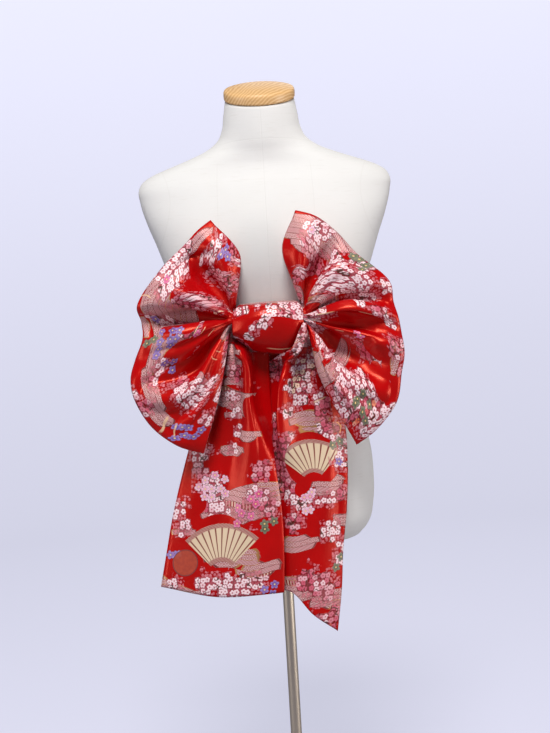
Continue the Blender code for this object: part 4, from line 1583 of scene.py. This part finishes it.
def build_knot(figures, shift):
    """The knot as a ring of cloth: its section from front over the top to the back."""
    stations = between([row[0] for row in KNOT], KNOT_STATIONS)
    place = between(np.arange(len(KNOT)), KNOT_STATIONS)
    share = (stations - stations[0]) / (stations[-1] - stations[0])
    angle = np.linspace(0, 2 * np.pi, KNOT_SIDES, endpoint=False)
    left = stations[0] + mouth(angle[None, :], MOUTH_LEFT)
    right = stations[-1] - mouth(angle[None, :], MOUTH_RIGHT)
    surface = knot_section(left + share[:, None] * (right - left), angle[None, :])
    normal = facing(out_of(surface, ring=True), np.s_[:, 0])
    depth = pressed(angle / (np.pi / 4), place, KNOT_CREASES).T
    surface = surface - normal * np.clip(depth, KNOT_OUT, KNOT_IN)[..., None]
    closed, round_it = once_round(surface)
    uv = np.stack([closed[..., 0] - closed[0, 0, 0], round_it], axis=-1)
    finish = pattern("knot", surface, uv, figures, shift)
    return thin_cloth("knot", surface, uv, finish, ring=True), uv


knot, knot_uv = build_knot(KNOT_FIGURES, (0.05, 0.35))
print(knot.name, len(knot.data.polygons), "faces, flat", np.ptp(knot_uv, axis=(0, 1)).round())

# %% [markdown]
# ## Sections of the form
#
# The form is drawn through level sections that are rounded squares, broader than they are
# deep. Two soft bells raise the bust, and the top sections tip forward with the neck. The
# waist band follows the same sections, a little further out.


# %% Form sections
def form_rings(level, sides, outset=0.0):
    """Sections of the dress form at the heights given, moved out by `outset`."""
    table = columns(TORSO_COLUMNS, TORSO)
    read = {key: smooth_through(table["z"], table[key], level)[:, None] for key in TORSO_COLUMNS}
    angle = np.linspace(0, 2 * np.pi, sides, endpoint=False)[None, :]
    across, fore = superellipse(angle, read["square"])
    x = across * (read["half_width"] + outset)
    centre = (read["front"] + read["back"]) / 2
    deep = (read["back"] - read["front"]) / 2 + outset
    y = centre + fore * deep
    away = np.hypot(np.abs(x) - BUST_X, level[:, None] - BUST_Z) / BUST_SPREAD
    y = y - BUST_RISE * bell(away, 1.0) * np.clip(-fore, 0, 1)
    z = level[:, None] + np.tan(np.radians(read["tip"])) * (y - centre)
    return np.stack([x, y, z], axis=-1)


waist = form_rings(np.array([SASH_BOTTOM, SASH_TOP], float), 4)
print("half width at the band's edges:", waist[:, 0, 0].round(1))

# %% [markdown]
# ## The waist band
#
# The band goes once round the form, close to it, and the bow hides nearly all of its front.
# It has a few shallow creases where the body bends. They stand out, because the form lies
# right behind the cloth. They are counted in shares of its height and in eighths of a turn.


# %% Waist band
SASH_SIDES, SASH_ROWS, SASH_EIGHTHS = 240, 60, 8
SASH_CREASES = (
    (0.30, 0.42, 0.2, 1.4, -1.2, 0.05),
    (0.62, 0.55, 1.0, 2.6, -1.0, 0.05),
    (0.34, 0.40, 2.2, 3.8, -1.3, 0.06),
    (0.74, 0.66, 3.2, 4.6, -1.1, 0.05),
    (0.30, 0.36, 4.2, 6.0, -1.2, 0.06),
    (0.60, 0.70, 5.4, 7.6, -1.0, 0.05),
    (0.22, 0.26, 6.6, 8.0, -1.1, 0.05),
)


def build_sash(shift):
    """The band round the waist, with its creases pressed outwards."""
    surface = form_rings(np.linspace(SASH_BOTTOM, SASH_TOP, SASH_ROWS), SASH_SIDES, SASH_GAP)
    turn = np.linspace(0, SASH_EIGHTHS, SASH_SIDES, endpoint=False)
    height = np.linspace(0, 1, SASH_ROWS)
    depth = pressed(height, turn, SASH_CREASES)
    surface = surface - out_of(surface, ring=True) * depth[..., None]
    closed, round_it = once_round(surface)
    uv = np.stack([round_it, closed[..., 2] - SASH_BOTTOM], axis=-1)
    return thin_cloth("waist_band", surface, uv, brocade("waist brocade", shift), ring=True), uv


sash, sash_uv = build_sash((0.42, 0.27))
print(sash.name, len(sash.data.polygons), "faces, flat", np.ptp(sash_uv, axis=(0, 1)).round())

# %% [markdown]
# ## The dress form and its stand
#
# The form is a smooth shape drawn through its sections, with the wooden disc parallel to
# the slanting cut of its neck. The pole and the foot are the solids themselves, which are
# already true to the real ones, so they only take a finish.

# %% Form and stand
FORM_SIDES, FORM_STEPS, CAP_STEPS = 144, 5, 5
form_levels = between([row[0] for row in TORSO], FORM_STEPS)
form = turned_solid("form", form_rings(form_levels, FORM_SIDES), linen("linen cover"))

seat = form_rings(np.array([TORSO[-1][0]], float), FORM_SIDES)[0]
seat_middle = seat.mean(axis=0)
tip = np.radians(TORSO[-1][-1])
seat_up = np.array([0.0, -np.sin(tip), np.cos(tip)])
cap_at = np.arange(len(CAP_PROFILE))
cap_profile = smooth_through(cap_at, np.array(CAP_PROFILE), between(cap_at, CAP_STEPS))
cap_share, cap_rise = cap_profile.T[..., None, None]
cap_rings = seat_middle + (seat - seat_middle) * cap_share + seat_up * (CAP_GAP + cap_rise)
cap = turned_solid("neck_disc", cap_rings, wood("pale wood"))

for node, finish in (
    ("pole", dull_metal("pole steel", srgb(214, 202, 184), (260.0, 260.0, 30.0))),
    ("base", dull_metal("foot steel", srgb(172, 168, 158), (60.0, 700.0, 60.0))),
):
    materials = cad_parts[node].data.materials
    materials.clear()
    materials.append(finish)
print("form", len(form.data.polygons), "faces; disc", len(cap.data.polygons), "faces")

# %% [markdown]
# ## Which piece stands for what
#
# Each finished piece rides on the object's one rigid body and replaces the plain solid that it
# was built on, which is hidden. Its flat size and cloth area are printed. The flat size is that of
# the cloth that shows.

for piece, node, slot in (
    (form, "torso", "linen_form"),
    (cap, "neck_cap", "neck_wood"),
    (sash, "waist_sash", "sash_brocade"),
    (knot, "knot_band", "knot_brocade"),
    (left_loop, "wing_left", "left_loop_brocade"),
    (right_loop, "wing_right", "right_loop_brocade"),
    (left_tail, "tail_left", "left_tail_brocade"),
    (right_tail, "tail_right", "right_tail_brocade"),
):
    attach(piece, "root")
    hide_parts(node)


FLAT_STEP = 0.005


def flat_size(uv):
    """The strip's width and length in metres, to the nearest 5 mm, from its flat coordinates."""
    return [round(float(x) * MM / FLAT_STEP) * FLAT_STEP for x in np.ptp(uv, axis=(0, 1))]


def skin_area(piece):
    """Half of the surface of a thin wall: the area of its cloth, in square metres."""
    mesh = piece.data
    area = np.empty(len(mesh.polygons), np.float32)
    mesh.polygons.foreach_get("area", area)
    return float(area.sum()) / 2


for piece, uv, held, rests in (
    (left_loop, left_uv, "gathered", [knot]),
    (right_loop, right_uv, "gathered", [knot]),
    (left_tail, left_tail_uv, "hung", [knot]),
    (right_tail, right_tail_uv, "hung", [knot]),
    (knot, knot_uv, "folded", [left_loop, right_loop]),
    (sash, sash_uv, "stretched", [form]),
):
    size = flat_size(uv)
    area = skin_area(piece)
    print(piece.name, "flat", size, "area", round(area, 4), "of", round(size[0] * size[1], 4))

# %% [markdown]
# ## The studio
#
# The piece is shown in a round cove painted pale, whose floor bends up into a wall. The paint
# has a painted glow that only the lens sees, stronger higher up, so it looks bright to the lens
# but gives the cloth little light, because silk needs dark surroundings to show its folds. The
# colours of the lamps are close to white.


# %% Studio
COVE_RADIUS, COVE_BEND, COVE_HEIGHT = 4200.0, 1500.0, 5200.0
COVE_SIDES, BEND_STEPS = 96, 24
FALL_LOW, FALL_HIGH, FALL = -0.5, 2.5, 0.33
UNSEEN_GLOW = 0.04


def plain(name, colour, lit, glow):
    """A pale backdrop paint with a painted glow: it looks lit to the lens, and gives little light
    to the cloth.

    The painted glow grows softly from the floor up, and it is held low for all but the lens.
    """
    made, shader, tree = new_finish(name)
    seen = Value(shader_node(tree, "LightPath", {}), "Is Camera Ray")
    _, _, z = split(object_place(tree))
    feed_all(shader, {
        "Base Color": tuple(lit * part for part in colour),
        "Roughness": 0.95,
        "Specular IOR Level": 0.0,
        "Emission Color": colour,
        # Painted light: a glow that the lens sees, stronger higher up, and a faint glow for all
        # other rays.
        "Emission Strength": seen * (z.rise(FALL_LOW, FALL_HIGH) * FALL + glow) + UNSEEN_GLOW,
    })
    return made


def build_cove(paint):
    """A round studio cove: a level floor that bends up into a wall all the way round."""
    bend = np.linspace(0, np.pi / 2, BEND_STEPS)
    radius = np.r_[1.0, COVE_RADIUS - COVE_BEND + COVE_BEND * np.sin(bend), COVE_RADIUS]
    height = np.r_[0.0, COVE_BEND * (1 - np.cos(bend)), COVE_HEIGHT]
    angle = np.linspace(0, 2 * np.pi, COVE_SIDES, endpoint=False)
    ring = np.stack([np.cos(angle), np.sin(angle), np.zeros(COVE_SIDES)], axis=-1)
    rings = ring[None] * radius[:, None, None]
    rings[..., 2] = height[:, None]
    index = np.arange(len(radius) * COVE_SIDES).reshape(-1, COVE_SIDES)
    faces = quads(closed_ring(index))[:, ::-1].tolist() + [index[0].tolist()]
    return mesh_object("cove", rings, faces, paint)


cove = build_cove(plain("backdrop paint with painted glow", srgb(222, 223, 242), lit=0.34, glow=0.66))
print("cove:", COVE_RADIUS * MM, "m in radius and", COVE_HEIGHT * MM, "m high")

# %% [markdown]
# ## Lamps and air
#
# One broad lamp stands high in front, with a weaker one on each side and a faint one behind
# that parts the form from the wall. A little even light from all round fills the shadows.

# %% Lamps
AIM = Vector((0.0, 0.0, 0.72))
LAMPS = (
    ("key", -0.15, -2.6, 4.0, 1.2, 170.0, (1.0, 0.97, 0.94)),
    ("right", 2.4, -0.9, 0.5, 0.9, 27.0, (1.0, 0.94, 0.87)),
    ("left", -2.4, -1.3, 0.7, 0.9, 16.0, (1.0, 0.97, 0.95)),
    ("back", 0.6, 2.6, 2.4, 1.6, 9.0, (0.96, 0.97, 1.0)),
)
for name, x, y, z, size, watts, colour in LAMPS:
    light = bpy.data.lights.new(name, "AREA")
    light.size, light.energy, light.color = size, watts, colour
    lamp = bpy.data.objects.new(name, light)
    lamp.location = (x, y, z)
    lamp.rotation_euler = (AIM - lamp.location).to_track_quat("-Z", "Y").to_euler()
    bpy.context.scene.collection.objects.link(lamp)

world = bpy.data.worlds.new("studio air")
world.use_nodes = True
air = world.node_tree.nodes["Background"]
feed_all(air, {"Color": (1.0, 0.98, 0.98), "Strength": 0.14})
bpy.context.scene.world = world
bpy.context.scene.view_settings.view_transform = "Standard"
print("lamps:", ", ".join(f"{lamp[0]} {lamp[5]:.0f} W" for lamp in LAMPS))

# %% [markdown]
# ## Camera
#
# A long lens a little above the bow keeps the shapes true. The camera is rolled by a few
# degrees, so the upright form leans a little in the frame.

# %% Camera
CAMERA = {"aim": (0.0, 0.0, 0.700), "away": 2.4, "up": 4.0, "roll": -3.35, "lens": 51.36}
raised = np.radians(CAMERA["up"])
back = Vector((0.0, -np.cos(raised), np.sin(raised)))
right = Vector((1.0, 0.0, 0.0))
turn = Matrix((right, back.cross(right), back)).transposed()
turn = turn @ Matrix.Rotation(np.radians(CAMERA["roll"]), 3, "Z")
lens = bpy.data.cameras.new("camera")
lens.sensor_fit = "VERTICAL"
lens.sensor_height = 24.0
lens.lens = CAMERA["lens"]
camera = bpy.data.objects.new("camera", lens)
camera.rotation_euler = turn.to_euler()
camera.location = Vector(CAMERA["aim"]) + back * CAMERA["away"]
bpy.context.scene.collection.objects.link(camera)
bpy.context.scene.camera = camera
print("camera at", [round(x, 3) for x in camera.location])

# %% [markdown]
# ## Update the scene
#
# Last, the view layer is brought up to date.

# %% Finish
bpy.context.view_layer.update()
